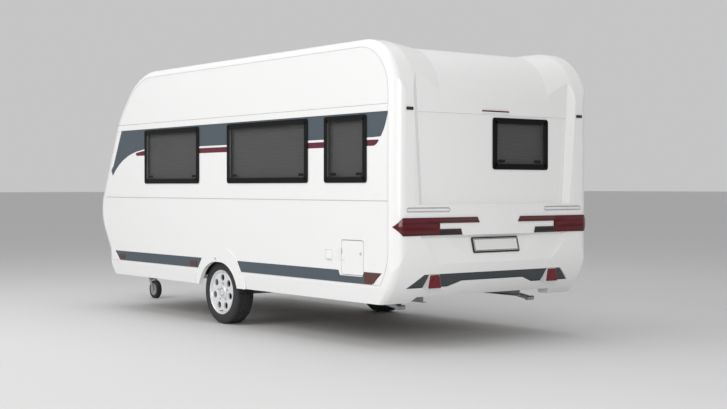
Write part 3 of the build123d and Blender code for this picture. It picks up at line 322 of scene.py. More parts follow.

# The seam line is painted shadow: a grey bar standing in for the shadow line at the seam under the
# roof strip.
SEAM_SHADOW_FOOT, SEAM_SHADOW_HEAD = 2.0505, 2.0560
SEAM_SHADOW_PROUD = 0.0035
SEAM_SHADOW_ROUND = 0.0012
SEAM_SHADOW_RUNS = {1: [(0.109, 5.040)], -1: [(0.109, 3.292), (3.908, 5.040)]}
for side, hand in ((1, "left"), (-1, "right")):
    for index, (start, end) in enumerate(SEAM_SHADOW_RUNS[side]):
        block(f"strip_seam_shadow_{hand}_{index}",
              (rear_x + start, side * (half_width - SKIN_LAP), SEAM_SHADOW_FOOT),
              (rear_x + end, side * (half_width + SEAM_SHADOW_PROUD), SEAM_SHADOW_HEAD), SEAM_SHADOW_ROUND, seam_and_shade_grey)


# ---- Stripes -------------------------------------------------------------------------
# Printed vinyl film, smoothed on to the sheet and cut round the windows: a slate stripe
# below the roof strip with a burgundy line under it, and a slate stripe above the skirt.
FILM_THICK = 0.0007
STEP_WIDTH = 0.0004
FILM_LEAST = 0.0002


def thicken(piece, thickness, offset=1.0):
    """Gives an open piece its thickness along its normals."""
    choose(piece)
    wall = piece.modifiers.new("wall", "SOLIDIFY")
    wall.thickness = thickness
    wall.offset = offset
    bpy.ops.object.modifier_apply(modifier="wall")


def film(name, material, columns, lay, rows=1, body="caravan"):
    """A film between a low and a high line, given as columns, laid down by lay(u, z)."""
    bpy.ops.mesh.primitive_grid_add(x_subdivisions=len(columns) - 1, y_subdivisions=rows, size=1)
    piece = bpy.context.object
    tall = rows + 1
    corners = sorted(piece.data.vertices,
                     key=lambda spot: (round(spot.co.x, 5), round(spot.co.y, 5)))
    for index, spot in enumerate(corners):
        u, low, high = columns[index // tall]
        spot.co = lay(u, low + (high - low) * (index % tall) / rows)
    thicken(piece, FILM_THICK, offset=0.0)
    bpy.ops.object.mode_set(mode="EDIT")
    bpy.ops.mesh.select_all(action="SELECT")
    bpy.ops.mesh.normals_make_consistent(inside=False)
    bpy.ops.object.mode_set(mode="OBJECT")
    return settle(piece, name, material, body)


def level(line, u):
    """Height of a line of (u, z) points at u."""
    for (a, low), (b, high) in zip(line, line[1:]):
        if a <= u <= b:
            return low + (high - low) * (u - a) / max(b - a, 1e-9)
    return line[0][1] if u < line[0][0] else line[-1][1]


def cut_round(line, start, end, windows, over):
    """The line between two stations, lifted to `over` where a window stands."""
    points = [(start, level(line, start))] + [(u, z) for u, z in line if start < u < end]
    points.append((end, level(line, end)))
    for a, b in windows:
        if start < a and b < end:
            points = [(u, z) for u, z in points if not a <= u <= b]
            points += [(a, level(line, a)), (a + STEP_WIDTH, over), (b - STEP_WIDTH, over),
                       (b, level(line, b))]
    return sorted(points)


slate_vinyl = finish("slate_vinyl", (0.066, 0.086, 0.104), 0.36, shade=0.93, scale=7.0, spread=0.06,
                     specular=0.35)
burgundy_vinyl = finish("burgundy_vinyl", (0.112, 0.011, 0.030), 0.34, shade=0.92, scale=7.0,
                        spread=0.06, specular=0.35)
# Stations are metres ahead of the rear face, heights are above the ground.
STRIPE_TOP = 1.9913
STRIPE_REAR, STRIPE_FRONT = 0.109, 5.129
SLATE_FOOT = [(0.109, 1.980), (0.122, 1.940), (0.142, 1.885), (0.168, 1.835), (0.204, 1.785),
              (0.300, 1.781), (4.338, 1.775), (4.533, 1.752), (4.700, 1.715), (4.850, 1.660),
              (4.950, 1.606), (5.030, 1.550), (5.080, 1.505), (5.096, 1.492), (5.129, 1.550)]
SLATE_HEAD = [(0.109, STRIPE_TOP), (4.875, STRIPE_TOP), (5.080, 1.601), (5.129, 1.558)]
LINE_HEAD = [(0.232, 1.752), (0.240, 1.760), (4.360, 1.757), (4.533, 1.738)]
LINE_FOOT = [(0.232, 1.748), (0.262, 1.722), (0.296, 1.709), (4.360, 1.706), (4.510, 1.706),
             (4.533, 1.718)]
LINE_REAR, LINE_FRONT = 0.232, 4.533
LINE_LEAST = 0.01
DOOR_WAY = (3.294, 3.906)
DOOR_LEAF = (3.300, 3.900)
DOOR_PANE = (3.416, 3.784)
DOOR_PANE_LAP = 0.006
DOOR_PANE_DROP = 0.030
WINDOW_SPANS = {1: [(0.390, 0.997), (1.247, 2.619), (3.160, 4.322)],
                -1: [(0.700, 1.700), (4.080, 4.560)]}
PANE_TOP = 1.977
FILM_LAP = 0.012


def columns_of(low, head, marks):
    """A film's columns at the given stations, each at least a hair tall."""
    return [(u, level(low, u), max(level(head, u), level(low, u) + FILM_LEAST)) for u in marks]


def both_lines(foot, head, start, end, windows, over):
    """Columns of a stripe whose foot steps over the windows."""
    low = cut_round(foot, start, end, windows, over)
    marks = sorted({round(u, 5) for u, _ in low} | {u for u, _ in head if start < u < end})
    return columns_of(low, head, marks)


def on_sheet(side):
    """How a film lies on the sheet of one side."""
    return lambda u, z: (rear_x + u, side * (half_width + FILM_THICK / 2 + 0.0001), z)


STRIPE_RUNS = {1: [("", STRIPE_REAR, STRIPE_FRONT, "caravan")],
               -1: [("_rear", STRIPE_REAR, DOOR_WAY[0], "caravan"), ("_door", *DOOR_LEAF, "door"),
                    ("_front", DOOR_WAY[1], STRIPE_FRONT, "caravan")]}
SKIRT_FOOT, SKIRT_HEAD = 0.5475, 0.650
SKIRT_TIP = SKIRT_HEAD - 0.004
REAR_SKIRT_FOOT = [(0.192, SKIRT_TIP), (0.322, SKIRT_FOOT), (2.370, SKIRT_FOOT), (2.440, SKIRT_TIP)]
FLAP_NOTCH = [(0.430, SKIRT_HEAD), (0.452, 0.606), (0.770, 0.606), (0.792, SKIRT_HEAD)]
FRONT_SKIRT_FOOT = [(3.118, SKIRT_TIP), (3.190, SKIRT_FOOT), (4.915, SKIRT_FOOT),
                    (5.032, SKIRT_TIP)]
FRONT_SKIRT_HEAD = [(3.118, SKIRT_HEAD), (5.032, SKIRT_HEAD)]
DOOR_FOOT, DOOR_ROUND = 0.575, 0.090
DOOR_ARC_STEPS = (0.002, 0.010, 0.025, 0.045, 0.070, 0.090)
door_arc = [(DOOR_LEAF[0] + d,
             DOOR_FOOT + DOOR_ROUND - math.sqrt(DOOR_ROUND ** 2 - (DOOR_ROUND - d) ** 2))
            for d in DOOR_ARC_STEPS]
door_arc += [(DOOR_LEAF[0] + DOOR_LEAF[1] - u, z) for u, z in reversed(door_arc)]


def skirt_film(side, hand, tag, foot, head, start, end, body="caravan"):
    """One run of the stripe above the skirt."""
    marks = sorted({u for u, _ in foot + head if start <= u <= end} | {start, end})
    film(f"skirt_stripe_{hand}_{tag}", slate_vinyl, columns_of(foot, head, marks), on_sheet(side),
         body=body)


for side, hand in ((1, "left"), (-1, "right")):
    spans = [(a + FILM_LAP, b - FILM_LAP) for a, b in WINDOW_SPANS[side]]
    for tag, start, end, body in STRIPE_RUNS[side]:
        gaps, over = spans, PANE_TOP - FILM_LAP
        if body == "door":
            gaps = [(DOOR_PANE[0] + DOOR_PANE_LAP, DOOR_PANE[1] - DOOR_PANE_LAP)]
            over -= DOOR_PANE_DROP
        film(f"slate_stripe_{hand}{tag}", slate_vinyl,
             both_lines(SLATE_FOOT, SLATE_HEAD, start, end, gaps, over), on_sheet(side), body=body)
        stops = [u for gap in gaps if start < gap[0] < end for u in gap]
        stops = [max(start, LINE_REAR)] + stops + [min(end, LINE_FRONT)]
        for index, (a, b) in enumerate(zip(stops[::2], stops[1::2])):
            if b > a + LINE_LEAST:
                film(f"burgundy_line_{hand}{tag}_{index}", burgundy_vinyl,
                     both_lines(LINE_FOOT, LINE_HEAD, a, b, [], 0.0), on_sheet(side), body=body)

    notch = FLAP_NOTCH if side > 0 else []
    skirt_film(side, hand, "rear", REAR_SKIRT_FOOT,
               [(0.192, SKIRT_HEAD), *notch, (2.440, SKIRT_HEAD)], 0.192, 2.440)
    skirt_film(side, hand, "front" if side > 0 else "middle", FRONT_SKIRT_FOOT, FRONT_SKIRT_HEAD,
               3.118, 5.032 if side > 0 else DOOR_WAY[0])
skirt_film(-1, "right", "front", FRONT_SKIRT_FOOT, FRONT_SKIRT_HEAD, DOOR_WAY[1], 5.032)
skirt_film(-1, "right", "door", door_arc, [(DOOR_LEAF[0], SKIRT_HEAD), (DOOR_LEAF[1], SKIRT_HEAD)],
           door_arc[0][0], door_arc[-1][0], "door")


# ---- Rear band -----------------------------------------------------------------------
# The dark band across the foot of the rear moulding: slate film on the floor of a
# shallow recess, following the moulding's curve.
BAND_CENTRE = (0.590, 0.8497)
BAND_R = 0.578
BAND_STEPS = 10
# Corners of the outline: distance from the middle, low, high.
BAND_TURNS = [(-0.964, 0.5165, 0.5170), (-0.812, 0.5165, 0.6310), (-0.500, 0.5165, 0.6310),
              (-0.360, 0.5625, 0.6310), (0.360, 0.5625, 0.6310), (0.500, 0.5165, 0.6310),
              (0.812, 0.5165, 0.6310), (0.964, 0.5165, 0.5170)]


def on_band(u, z):
    """A point on the floor of the recess, which is curved in height."""
    drop = math.sqrt(BAND_R ** 2 - (BAND_CENTRE[1] - z) ** 2)
    return (rear_x + BAND_CENTRE[0] - drop - FILM_THICK, u, z)


band_slate = finish("band_slate", (0.050, 0.056, 0.064), 0.38, shade=0.9, scale=7.0, spread=0.06,
                    specular=0.35)
band_columns = [tuple(p + (q - p) * step / BAND_STEPS for p, q in zip(a, b))
                for a, b in zip(BAND_TURNS, BAND_TURNS[1:]) for step in range(BAND_STEPS)]
film("rear_band", band_slate, band_columns + BAND_TURNS[-1:], on_band, rows=8)


# ---- Windows -------------------------------------------------------------------------
# Double acrylic panes, tinted, hinged at the top. Each has a black printed edge with a
# narrow inner step, latches at the foot, and a pleated blind drawn behind it.
def on_side(side, x, y, z):
    """Axes of a piece lying flat on a side: its width, its height, outwards."""
    return Matrix(((-side, 0, 0, x), (0, 0, side, y), (0, 1, 0, z), (0, 0, 0, 1)))


def on_rear(x, y, z):
    """The same axes for a piece lying flat on the rear."""
    return Matrix(((0, 0, -1, x), (-1, 0, 0, y), (0, 1, 0, z), (0, 0, 0, 1)))


def panel_shape(size, corner, thickness, border=None, edge=0.0):
    """A flat plate with rounded corners, or a frame where it has a border: a plane is
    rounded, inset, opened and given its thickness."""
    bpy.ops.mesh.primitive_plane_add(size=1)
    piece = bpy.context.object
    piece.scale = (size[0], size[1], 1)
    choose(piece)
    bpy.ops.object.transform_apply(location=False, rotation=False, scale=True)
    bpy.ops.object.mode_set(mode="EDIT")
    bpy.ops.mesh.select_mode(type="VERT")
    bpy.ops.mesh.select_all(action="SELECT")
    bpy.ops.mesh.bevel(offset=corner, offset_type="OFFSET", segments=7, affect="VERTICES")
    if border:
        bpy.ops.mesh.select_mode(type="FACE")
        bpy.ops.mesh.select_all(action="SELECT")
        bpy.ops.mesh.inset(thickness=border)
        bpy.ops.mesh.delete(type="FACE")
    bpy.ops.object.mode_set(mode="OBJECT")
    thicken(piece, thickness)
    if edge:
        soften(piece, edge)
    return piece


def panel(name, place, size, corner, thickness, material, body="caravan",
          border=None, edge=0.0):
    """One plate or frame, put in its place."""
    piece = panel_shape(size, corner, thickness, border, edge)
    piece.matrix_world = place
    return settle(piece, name, material, body)


def settle_each(piece, spots, material):
    """Copies a shaped piece to each name, place and body, every copy with its own mesh."""
    settled = []
    for name, place, body in spots:
        twin = piece.copy()
        twin.data = piece.data.copy()
        bpy.context.scene.collection.objects.link(twin)
        twin.matrix_world = place
        settled.append(settle(twin, name, material, body))
    bpy.data.meshes.remove(piece.data)
    return settled


def see_through(name, colour, alpha, roughness=0.06):
    """Tinted acrylic."""
    material = finish(name, colour, roughness, shade=0.9, scale=2.0, bump=0.0, spread=0.03,
                      specular=0.3)
    material.node_tree.nodes["Principled BSDF"].inputs["Alpha"].default_value = alpha
    return material


window_tint = see_through("window_tint", (0.012, 0.012, 0.013), 0.36)
deep_tint = see_through("deep_tint", (0.016, 0.016, 0.018), 0.86)
dress(window_tint, "windows_left", "windows_right", "window_rear")
dress(deep_tint, "window_front", "door_window")
frame_black = finish("frame_black", (0.005, 0.005, 0.0055), 0.42, shade=0.8, scale=5.0,
                     specular=0.12)
latch_black = finish("latch_black", (0.008, 0.008, 0.008), 0.5, shade=0.8, scale=30.0, bump=0.2,
                     specular=0.2)
blind_cloth = finish("blind_cloth", (0.40, 0.40, 0.395), 0.85, shade=0.86, scale=3.0, grain=700.0,
                     bump=0.4, depth=0.0004)
PANE_FOOT = 1.401
PANE_OUT = half_width + 0.008
PANE_ROUND = 0.026
BLACK_EDGE = 0.050
EDGE_THICK = 0.0012
PRINT_SUNK, PRINT_IN = 0.0002, 0.001
STEP_BORDER, STEP_LAP, STEP_THICK = 0.009, 0.012, 0.0022
STEP_PROUD, STEP_ROUND = 0.0003, 0.018
LATCH_SIZE, LATCH_IN, LATCH_UP = (0.075, 0.024), 0.070, 0.075
LATCH_BEHIND, BLIND_BEHIND = 0.018, 0.048
BLIND_MARGIN = 0.036
REAR_PANE = (-0.659, 0.024, 1.518, 1.972)
REAR_PANE_X = rear_x + 0.049
REAR_BLIND_BEHIND = 0.038
PLEAT = 0.0115
PLEAT_HALF_DEPTH = 0.0009


def blind(name, place, width, height):
    """A pleated blind: one sheet folded back and forth down its height."""
    folds = round(height / PLEAT)
    bpy.ops.mesh.primitive_grid_add(x_subdivisions=6, y_subdivisions=folds, size=1)
    piece = bpy.context.object
    for spot in piece.data.vertices:
        fold = round((spot.co.y + 0.5) * folds)
        depth = PLEAT_HALF_DEPTH if fold % 2 else -PLEAT_HALF_DEPTH
        spot.co = (spot.co.x * width, spot.co.y * height, depth)
    piece.matrix_world = place
    settle(piece, name, blind_cloth, "caravan")
    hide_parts("blinds")


latch_spots = []


def window(name, place, behind, width, height, wall):
    """Black edge, inner step, the places of two latches, and the blind of one window;
    behind(d) is the place at a depth d behind the pane."""
    panel(f"{name}_edge", place @ Matrix.Translation((0, 0, -PRINT_SUNK)),
          (width - PRINT_IN, height - PRINT_IN), PANE_ROUND, EDGE_THICK, frame_black,
          border=BLACK_EDGE)
    panel(f"{name}_step", place @ Matrix.Translation((0, 0, STEP_PROUD)),
          (width - 2 * BLACK_EDGE + STEP_LAP, height - 2 * BLACK_EDGE + STEP_LAP), STEP_ROUND,
          STEP_THICK, latch_black, border=STEP_BORDER, edge=0.0006)
    for end, tag in ((-1, "a"), (1, "b")):
        spot = (end * (width / 2 - BLACK_EDGE - LATCH_IN), LATCH_UP - height / 2, 0)
        latch_spots.append((f"{name}_latch_{tag}",
                            behind(LATCH_BEHIND) @ Matrix.Translation(spot), "caravan"))
    blind(f"{name}_blind", behind(REAR_BLIND_BEHIND if wall == "rear_wall" else BLIND_BEHIND),
          width - BLIND_MARGIN, height - BLIND_MARGIN)


for side, hand in ((1, "left"), (-1, "right")):
    for index, (a, b) in enumerate(WINDOW_SPANS[side]):
        x, z = rear_x + (a + b) / 2, (PANE_FOOT + PANE_TOP) / 2
        window(f"window_{hand}_{index}", on_side(side, x, side * PANE_OUT, z),
               lambda deep: on_side(side, x, side * (PANE_OUT - deep), z), b - a,
               PANE_TOP - PANE_FOOT, f"side_wall_{hand}")
y, z = (REAR_PANE[0] + REAR_PANE[1]) / 2, (REAR_PANE[2] + REAR_PANE[3]) / 2
window("window_back", on_rear(REAR_PANE_X, y, z), lambda deep: on_rear(REAR_PANE_X + deep, y, z),
       REAR_PANE[1] - REAR_PANE[0], REAR_PANE[3] - REAR_PANE[2], "rear_wall")
settle_each(panel_shape(LATCH_SIZE, corner=0.008, thickness=0.009, edge=0.002), latch_spots,
            latch_black)

# The front pane leans back with the nose, from its widest line to the roof's corner.
RAKE_FOOT, RAKE_HEAD = Vector((5.478, 0, 1.074)), Vector((4.971, 0, 2.142))
FRONT_PANE_Z = 1.730
FRONT_PANE_SIZE, FRONT_PANE_ROUND = (1.527, 0.497), 0.074
FRONT_PANE_PROUD = 0.008
rake_up = (RAKE_HEAD - RAKE_FOOT).normalized()
rake_out = Vector((rake_up.z, 0, -rake_up.x))
share = (FRONT_PANE_Z - RAKE_FOOT.z) / (RAKE_HEAD.z - RAKE_FOOT.z)
middle = RAKE_FOOT.lerp(RAKE_HEAD, share) + rake_out * FRONT_PANE_PROUD + Vector((rear_x, 0, 0))
rake_place = Matrix(((0, rake_up.x, rake_out.x, middle.x), (1, 0, 0, 0),
                     (0, rake_up.z, rake_out.z, middle.z), (0, 0, 0, 1)))
panel("window_front_edge", rake_place @ Matrix.Translation((0, 0, -PRINT_SUNK)), FRONT_PANE_SIZE,
      FRONT_PANE_ROUND, EDGE_THICK, frame_black, border=BLACK_EDGE)


# ---- Door and flaps ------------------------------------------------------------------
# The entrance door and the service flap are hinged panels of the same sheet, each with a
# rubber seal in its gap. The door has its own window and a flush black lock.
seal_rubber = finish("seal_rubber", (0.030, 0.030, 0.031), 0.7, shade=0.8, scale=12.0, bump=0.1)
black_plastic = finish("black_plastic", (0.018, 0.018, 0.019), 0.45, shade=0.75, scale=20.0,
                       grain=500.0, bump=0.25, depth=0.0003, specular=0.4)
dress(black_plastic, "door_handle", "service_locker")
dress(coach_white, "door_leaf", "service_flap", "hinge_knuckles")
DOOR_X = rear_x + 3.600
DOOR_MIDDLE_Z, DOOR_PANE_Z, MOULDING_Z = 1.4075, 1.690, 0.960
FLAP_X, FLAP_Z = rear_x + 0.5925, 0.763
HATCH_X, HATCH_Z = rear_x + 0.931, 0.778
# How far below the skin each piece starts, or above it.
DOOR_SEAL_SUNK, FLAP_SEAL_SUNK, MOULDING_SUNK, HATCH_SUNK = 0.012, 0.009, 0.0002, 0.001
DOOR_EDGE_PROUD, CATCH_PROUD = 0.0058, 0.0085
CATCH_X, CATCH_Z = HATCH_X - 0.005, HATCH_Z - 0.042
panel("door_seal", on_side(-1, DOOR_X, -(half_width - DOOR_SEAL_SUNK), DOOR_MIDDLE_Z),
      size=(0.6118, 1.6768), corner=0.0959, thickness=0.010, border=0.0026,
      material=seal_rubber)
panel("door_window_edge", on_side(-1, DOOR_X, -(half_width + DOOR_EDGE_PROUD), DOOR_PANE_Z),
      size=(0.367, 0.507), corner=0.054, thickness=EDGE_THICK, border=0.040,
      material=frame_black, body="door")
panel("door_moulding", on_side(-1, DOOR_X, -(half_width - MOULDING_SUNK), MOULDING_Z),
      size=(0.440, 0.440), corner=0.060, thickness=0.0035, border=0.014, edge=0.0012,
      material=coach_white, body="door")
panel("flap_seal", on_side(1, FLAP_X, half_width - FLAP_SEAL_SUNK, FLAP_Z),
      size=(0.3168, 0.3018), corner=0.0259, thickness=0.006, border=0.0024,
      material=seam_and_shade_grey)


def turned_shape(profile, steps=40, smooth=40):
    """A ring or disc: a section of (radius, height) points spun about its own axis."""
    bpy.ops.mesh.primitive_circle_add(vertices=len(profile), fill_type="NOTHING")
    piece = bpy.context.object
    choose(piece)
    for spot, (radius, height) in zip(piece.data.vertices, profile):
        spot.co = (radius, 0.0, height)
    bpy.ops.object.mode_set(mode="EDIT")
    bpy.ops.mesh.select_all(action="SELECT")
    bpy.ops.mesh.spin(steps=steps, angle=2 * math.pi, center=(0, 0, 0), axis=(0, 0, 1))
    bpy.ops.mesh.select_all(action="SELECT")
    bpy.ops.mesh.remove_doubles(threshold=0.00002)
    bpy.ops.mesh.delete_loose(use_verts=True, use_edges=True, use_faces=False)
    bpy.ops.mesh.select_all(action="SELECT")
    bpy.ops.mesh.normals_make_consistent(inside=False)
    bpy.ops.object.mode_set(mode="OBJECT")
    bpy.ops.object.shade_smooth_by_angle(angle=math.radians(smooth))
    return piece


# A lock's or a stud's section: radius, height.
LOCK_FACE = [(0.0, -0.002), (0.013, -0.002), (0.013, 0.003), (0.011, 0.005), (0.0035, 0.005),
             (0.003, 0.003), (0.0, 0.003)]
FLAP_LOCK_X, FLAP_LOCK_Z = rear_x + 0.476, 0.799
ARCH_STUD_X, ARCH_STUD_Z, ARCH_TRIM_OUT = rear_x + 2.838, 0.655, 0.010
lock_spots = [("flap_lock", on_side(1, FLAP_LOCK_X, half_width, FLAP_LOCK_Z), "service_flap"),
              ("arch_stud", on_side(1, ARCH_STUD_X, half_width + ARCH_TRIM_OUT, ARCH_STUD_Z),
               "caravan")]
settle_each(turned_shape(LOCK_FACE, steps=24), lock_spots, seam_and_shade_grey)
hatch_place = on_side(1, HATCH_X, half_width - HATCH_SUNK, HATCH_Z)
panel("mains_hatch_frame", hatch_place, size=(0.118, 0.100), corner=0.010, thickness=0.006,
      border=0.009, edge=0.0015, material=coach_white)
panel("mains_hatch_lid", hatch_place, size=(0.096, 0.078), corner=0.006, thickness=0.010,
      edge=0.002, material=coach_white)
panel("mains_hatch_catch", on_side(1, CATCH_X, half_width + CATCH_PROUD, CATCH_Z),
      size=(0.030, 0.008), corner=0.003, thickness=0.003, edge=0.001, material=seam_and_shade_grey)


# ---- Lamps ---------------------------------------------------------------------------
# Moulded tail lamps wrap round the rear corners, each a red body with a smoked upper arm
# and a darker lower arm. Markers, the high brake light and the triangles are acrylic too.
def ribs_group():
    """Fine moulded ribs across a lens, as a height and a painted shade mask that darkens every
    groove.
    """
    group = bpy.data.node_groups.new("lens_ribs", "ShaderNodeTree")
    pitch = group.interface.new_socket("Pitch", in_out="INPUT", socket_type="NodeSocketFloat")
    pitch.default_value = 60.0
    for label in ("Height", "Groove Shade"):
        group.interface.new_socket(label, in_out="OUTPUT", socket_type="NodeSocketFloat")
    make, link = group.nodes.new, group.links.new
    enter, leave = make("NodeGroupInput"), make("NodeGroupOutput")
    place, rows = make("ShaderNodeTexCoord"), make("ShaderNodeTexWave")
    rows.bands_direction = "Z"
    rows.inputs["Distortion"].default_value = 0.0
    link(place.outputs["Object"], rows.inputs["Vector"])
    link(enter.outputs["Pitch"], rows.inputs["Scale"])
    # Painted shade: the colour in each groove falls to 0.45 of the lens colour.
    groove = make("ShaderNodeMapRange")
    groove.inputs["From Min"].default_value = 0.0
    groove.inputs["From Max"].default_value = 0.55
    groove.inputs["To Min"].default_value = 0.45
    groove.inputs["To Max"].default_value = 1.0
    link(rows.outputs["Fac"], groove.inputs["Value"])
    link(rows.outputs["Fac"], leave.inputs["Height"])
    link(groove.outputs["Result"], leave.inputs["Groove Shade"])
    return group


lens_ribs = ribs_group()
RIB_DEPTH = 0.001


def lens(name, colour, pitch, relief=0.3, roughness=0.14):
    """Coloured acrylic with moulded ribs, and painted shade darkening every groove."""
    material = finish(name, colour, roughness, shade=0.75, scale=14.0, coat=0.15, specular=0.35)
    inside, link = material.node_tree.nodes, material.node_tree.links.new
    ribs = inside.new("ShaderNodeGroup")
    ribs.node_tree = lens_ribs
    ribs.inputs["Pitch"].default_value = pitch
    # Painted shade: the lens colour is scaled down in every groove.
    groove_shading = inside.new("ShaderNodeVectorMath")
    groove_shading.operation = "SCALE"
    link(inside["surface"].outputs["Color"], groove_shading.inputs[0])
    link(ribs.outputs["Groove Shade"], groove_shading.inputs["Scale"])
    link(groove_shading.outputs[0], inside["Principled BSDF"].inputs["Base Color"])
    link(ribs.outputs["Height"], inside["relief"].inputs["Height"])
    inside["relief"].inputs["Strength"].default_value = relief
    inside["relief"].inputs["Distance"].default_value = RIB_DEPTH
    return material


lamp_red = lens("lamp_red", (0.115, 0.002, 0.009), 6.8)
lamp_smoked = lens("lamp_smoked", (0.120, 0.028, 0.030), 14.0, roughness=0.2)
lamp_dark = lens("lamp_dark", (0.030, 0.020, 0.020), 14.0, roughness=0.2)
lamp_amber = lens("lamp_amber", (0.120, 0.038, 0.028), 30.0, roughness=0.3)
# The body lies outside the notch, the arms inside it, one above the split and one below.
NOTCH = 0.684
ARM_SPLIT = 1.040
ZONE_GAP = 0.0003
LAMP_MIDDLE = 0.010
LAMP_ROUND = 0.0025
LAMP_ZONES = [("body", None, lamp_red), ("upper_arm", 1, lamp_smoked), ("lower_arm", -1, lamp_dark)]


def keep_beyond(piece, point, normal):
    """Cuts a closed piece with a plane and keeps the side that the normal points to."""
    choose(piece)
    bpy.ops.object.mode_set(mode="EDIT")
    bpy.ops.mesh.select_all(action="SELECT")
    bpy.ops.mesh.bisect(plane_co=point, plane_no=normal, use_fill=True, clear_inner=True)
    bpy.ops.object.mode_set(mode="OBJECT")


for side, hand in ((1, "left"), (-1, "right")):
    for zone, arm, material in LAMP_ZONES:
        piece = copy_of("tail_lamps")
        if arm is None:
            keep_beyond(piece, (0, side * (NOTCH - ZONE_GAP), 0), (0, side, 0))
        else:
            keep_beyond(piece, (0, side * LAMP_MIDDLE, 0), (0, side, 0))
            keep_beyond(piece, (0, side * (NOTCH + ZONE_GAP), 0), (0, -side, 0))
            keep_beyond(piece, (0, 0, ARM_SPLIT), (0, 0, arm))
        bpy.ops.object.mode_set(mode="EDIT")
        bpy.ops.mesh.select_all(action="SELECT")
        bpy.ops.mesh.dissolve_limited(angle_limit=math.radians(0.5))
        bpy.ops.object.mode_set(mode="OBJECT")
        soften(piece, LAMP_ROUND)
        settle(piece, f"tail_lamp_{zone}_{hand}", material, "caravan")
        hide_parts("tail_lamps")

high_lamp = lens("high_lamp", (0.140, 0.012, 0.020), 45.0)
dress(high_lamp, "end_markers")
HIGH_LIP_LOW, HIGH_LIP_HIGH = (0.031, -0.160, 2.006), (0.0445, 0.160, 2.0175)
block("high_lamp_lip", (rear_x + HIGH_LIP_LOW[0], *HIGH_LIP_LOW[1:]),
      (rear_x + HIGH_LIP_HIGH[0], *HIGH_LIP_HIGH[1:]), edge=0.002, material=coach_white)
END_MARKER_X, END_MARKER_Y, END_MARKER_Z = rear_x - 0.0062, 1.009, 2.012
END_MARKER_SIZE = (0.072, 0.026)
settle_each(panel_shape(END_MARKER_SIZE, corner=0.004, thickness=0.002, edge=0.0008),
            [(f"end_marker_face_{hand}",
              on_rear(END_MARKER_X, side * END_MARKER_Y, END_MARKER_Z), "caravan")
             for side, hand in ((1, "left"), (-1, "right"))], lamp_dark)
dress(lamp_amber, "side_markers")
dress(coach_white, "rear_reflectors")
reflector_red = lens("reflector_red", (0.200, 0.010, 0.014), 90.0, relief=0.5, roughness=0.2)
# Outlines of a reflector pod's face and of the triangle on it: from the middle, height.
POD = [(0.626, 0.512), (0.776, 0.512), (0.751, 0.628), (0.647, 0.628)]
TRIANGLE = [(0.634, 0.518), (0.766, 0.518), (0.699, 0.622)]
REFLECTOR_X = 0.042
REFLECTOR_ROUND = 0.008
# Each face: name, outline, how far its corners draw in, how far it stands out.
REFLECTOR_FACES = [("pod_face", POD, 0.003, 0.002), ("triangle", TRIANGLE, 0.006, 0.0045)]
for side, hand in ((1, "left"), (-1, "right")):
    for name, outline, shrink, out in REFLECTOR_FACES:
        bpy.ops.mesh.primitive_circle_add(vertices=len(outline), fill_type="NGON")
        piece = bpy.context.object
        choose(piece)
        centre = Vector((0, sum(y for y, _ in outline), sum(z for _, z in outline))) / len(outline)
        for spot, (y, z) in zip(piece.data.vertices, outline):
            point = Vector((0, y, z))
            point -= (point - centre).normalized() * shrink
            spot.co = (rear_x + REFLECTOR_X, side * point.y, point.z)
        bpy.ops.object.mode_set(mode="EDIT")
        bpy.ops.mesh.select_mode(type="VERT")
        bpy.ops.mesh.select_all(action="SELECT")
        bpy.ops.mesh.bevel(offset=REFLECTOR_ROUND, segments=4, affect="VERTICES")
        bpy.ops.mesh.select_mode(type="FACE")
        bpy.ops.mesh.select_all(action="SELECT")
        bpy.ops.mesh.extrude_region_move(TRANSFORM_OT_translate={"value": (-out, 0, 0)})
        bpy.ops.mesh.select_all(action="SELECT")
        bpy.ops.mesh.normals_make_consistent(inside=False)
        bpy.ops.object.mode_set(mode="OBJECT")
        settle(piece, f"reflector_{name}_{hand}", reflector_red, "caravan")


# ---- Number plate --------------------------------------------------------------------
# A blank pressed aluminium plate, white with a raised black edge, clipped in a black
# plastic holder that leans back under the lamps.
plate_white = finish("plate_white", (0.74, 0.74, 0.73), 0.35, shade=0.97, grain=500.0, bump=0.15)
dress(plate_white, "number_plate")
dress(black_plastic, "plate_holder")
PLATE_LEAN = math.radians(15)
PLATE_X, PLATE_Z, PLATE_PROUD = 0.046, 0.863, 0.0149
RIM_SIZE, RIM_BORDER, RIM_THICK = (0.514, 0.104), 0.005, 0.0012
SCREW_Y, SCREW_UP = 0.205, 0.033
SCREW_HEAD = [(0, 0), (0.004, 0), (0.004, 0.0012), (0.003, 0.002), (0, 0.002)]
plate_out = Vector((-math.cos(PLATE_LEAN), 0, math.sin(PLATE_LEAN)))
plate_up = Vector((math.sin(PLATE_LEAN), 0, math.cos(PLATE_LEAN)))
plate_middle = Vector((rear_x + PLATE_X, 0, PLATE_Z)) + plate_out * PLATE_PROUD
plate_place = Matrix(((0, plate_up.x, plate_out.x, plate_middle.x), (-1, 0, 0, 0),
                      (0, plate_up.z, plate_out.z, plate_middle.z), (0, 0, 0, 1)))
panel("plate_rim", plate_place, RIM_SIZE, corner=0.008, thickness=RIM_THICK, border=RIM_BORDER,
      edge=0.0004, material=frame_black)
settle_each(turned_shape(SCREW_HEAD, steps=16),
            [(f"plate_screw_{hand}",
              plate_place @ Matrix.Translation((side * SCREW_Y, SCREW_UP, 0)), "caravan")
             for side, hand in ((1, "left"), (-1, "right"))], seam_and_shade_grey)


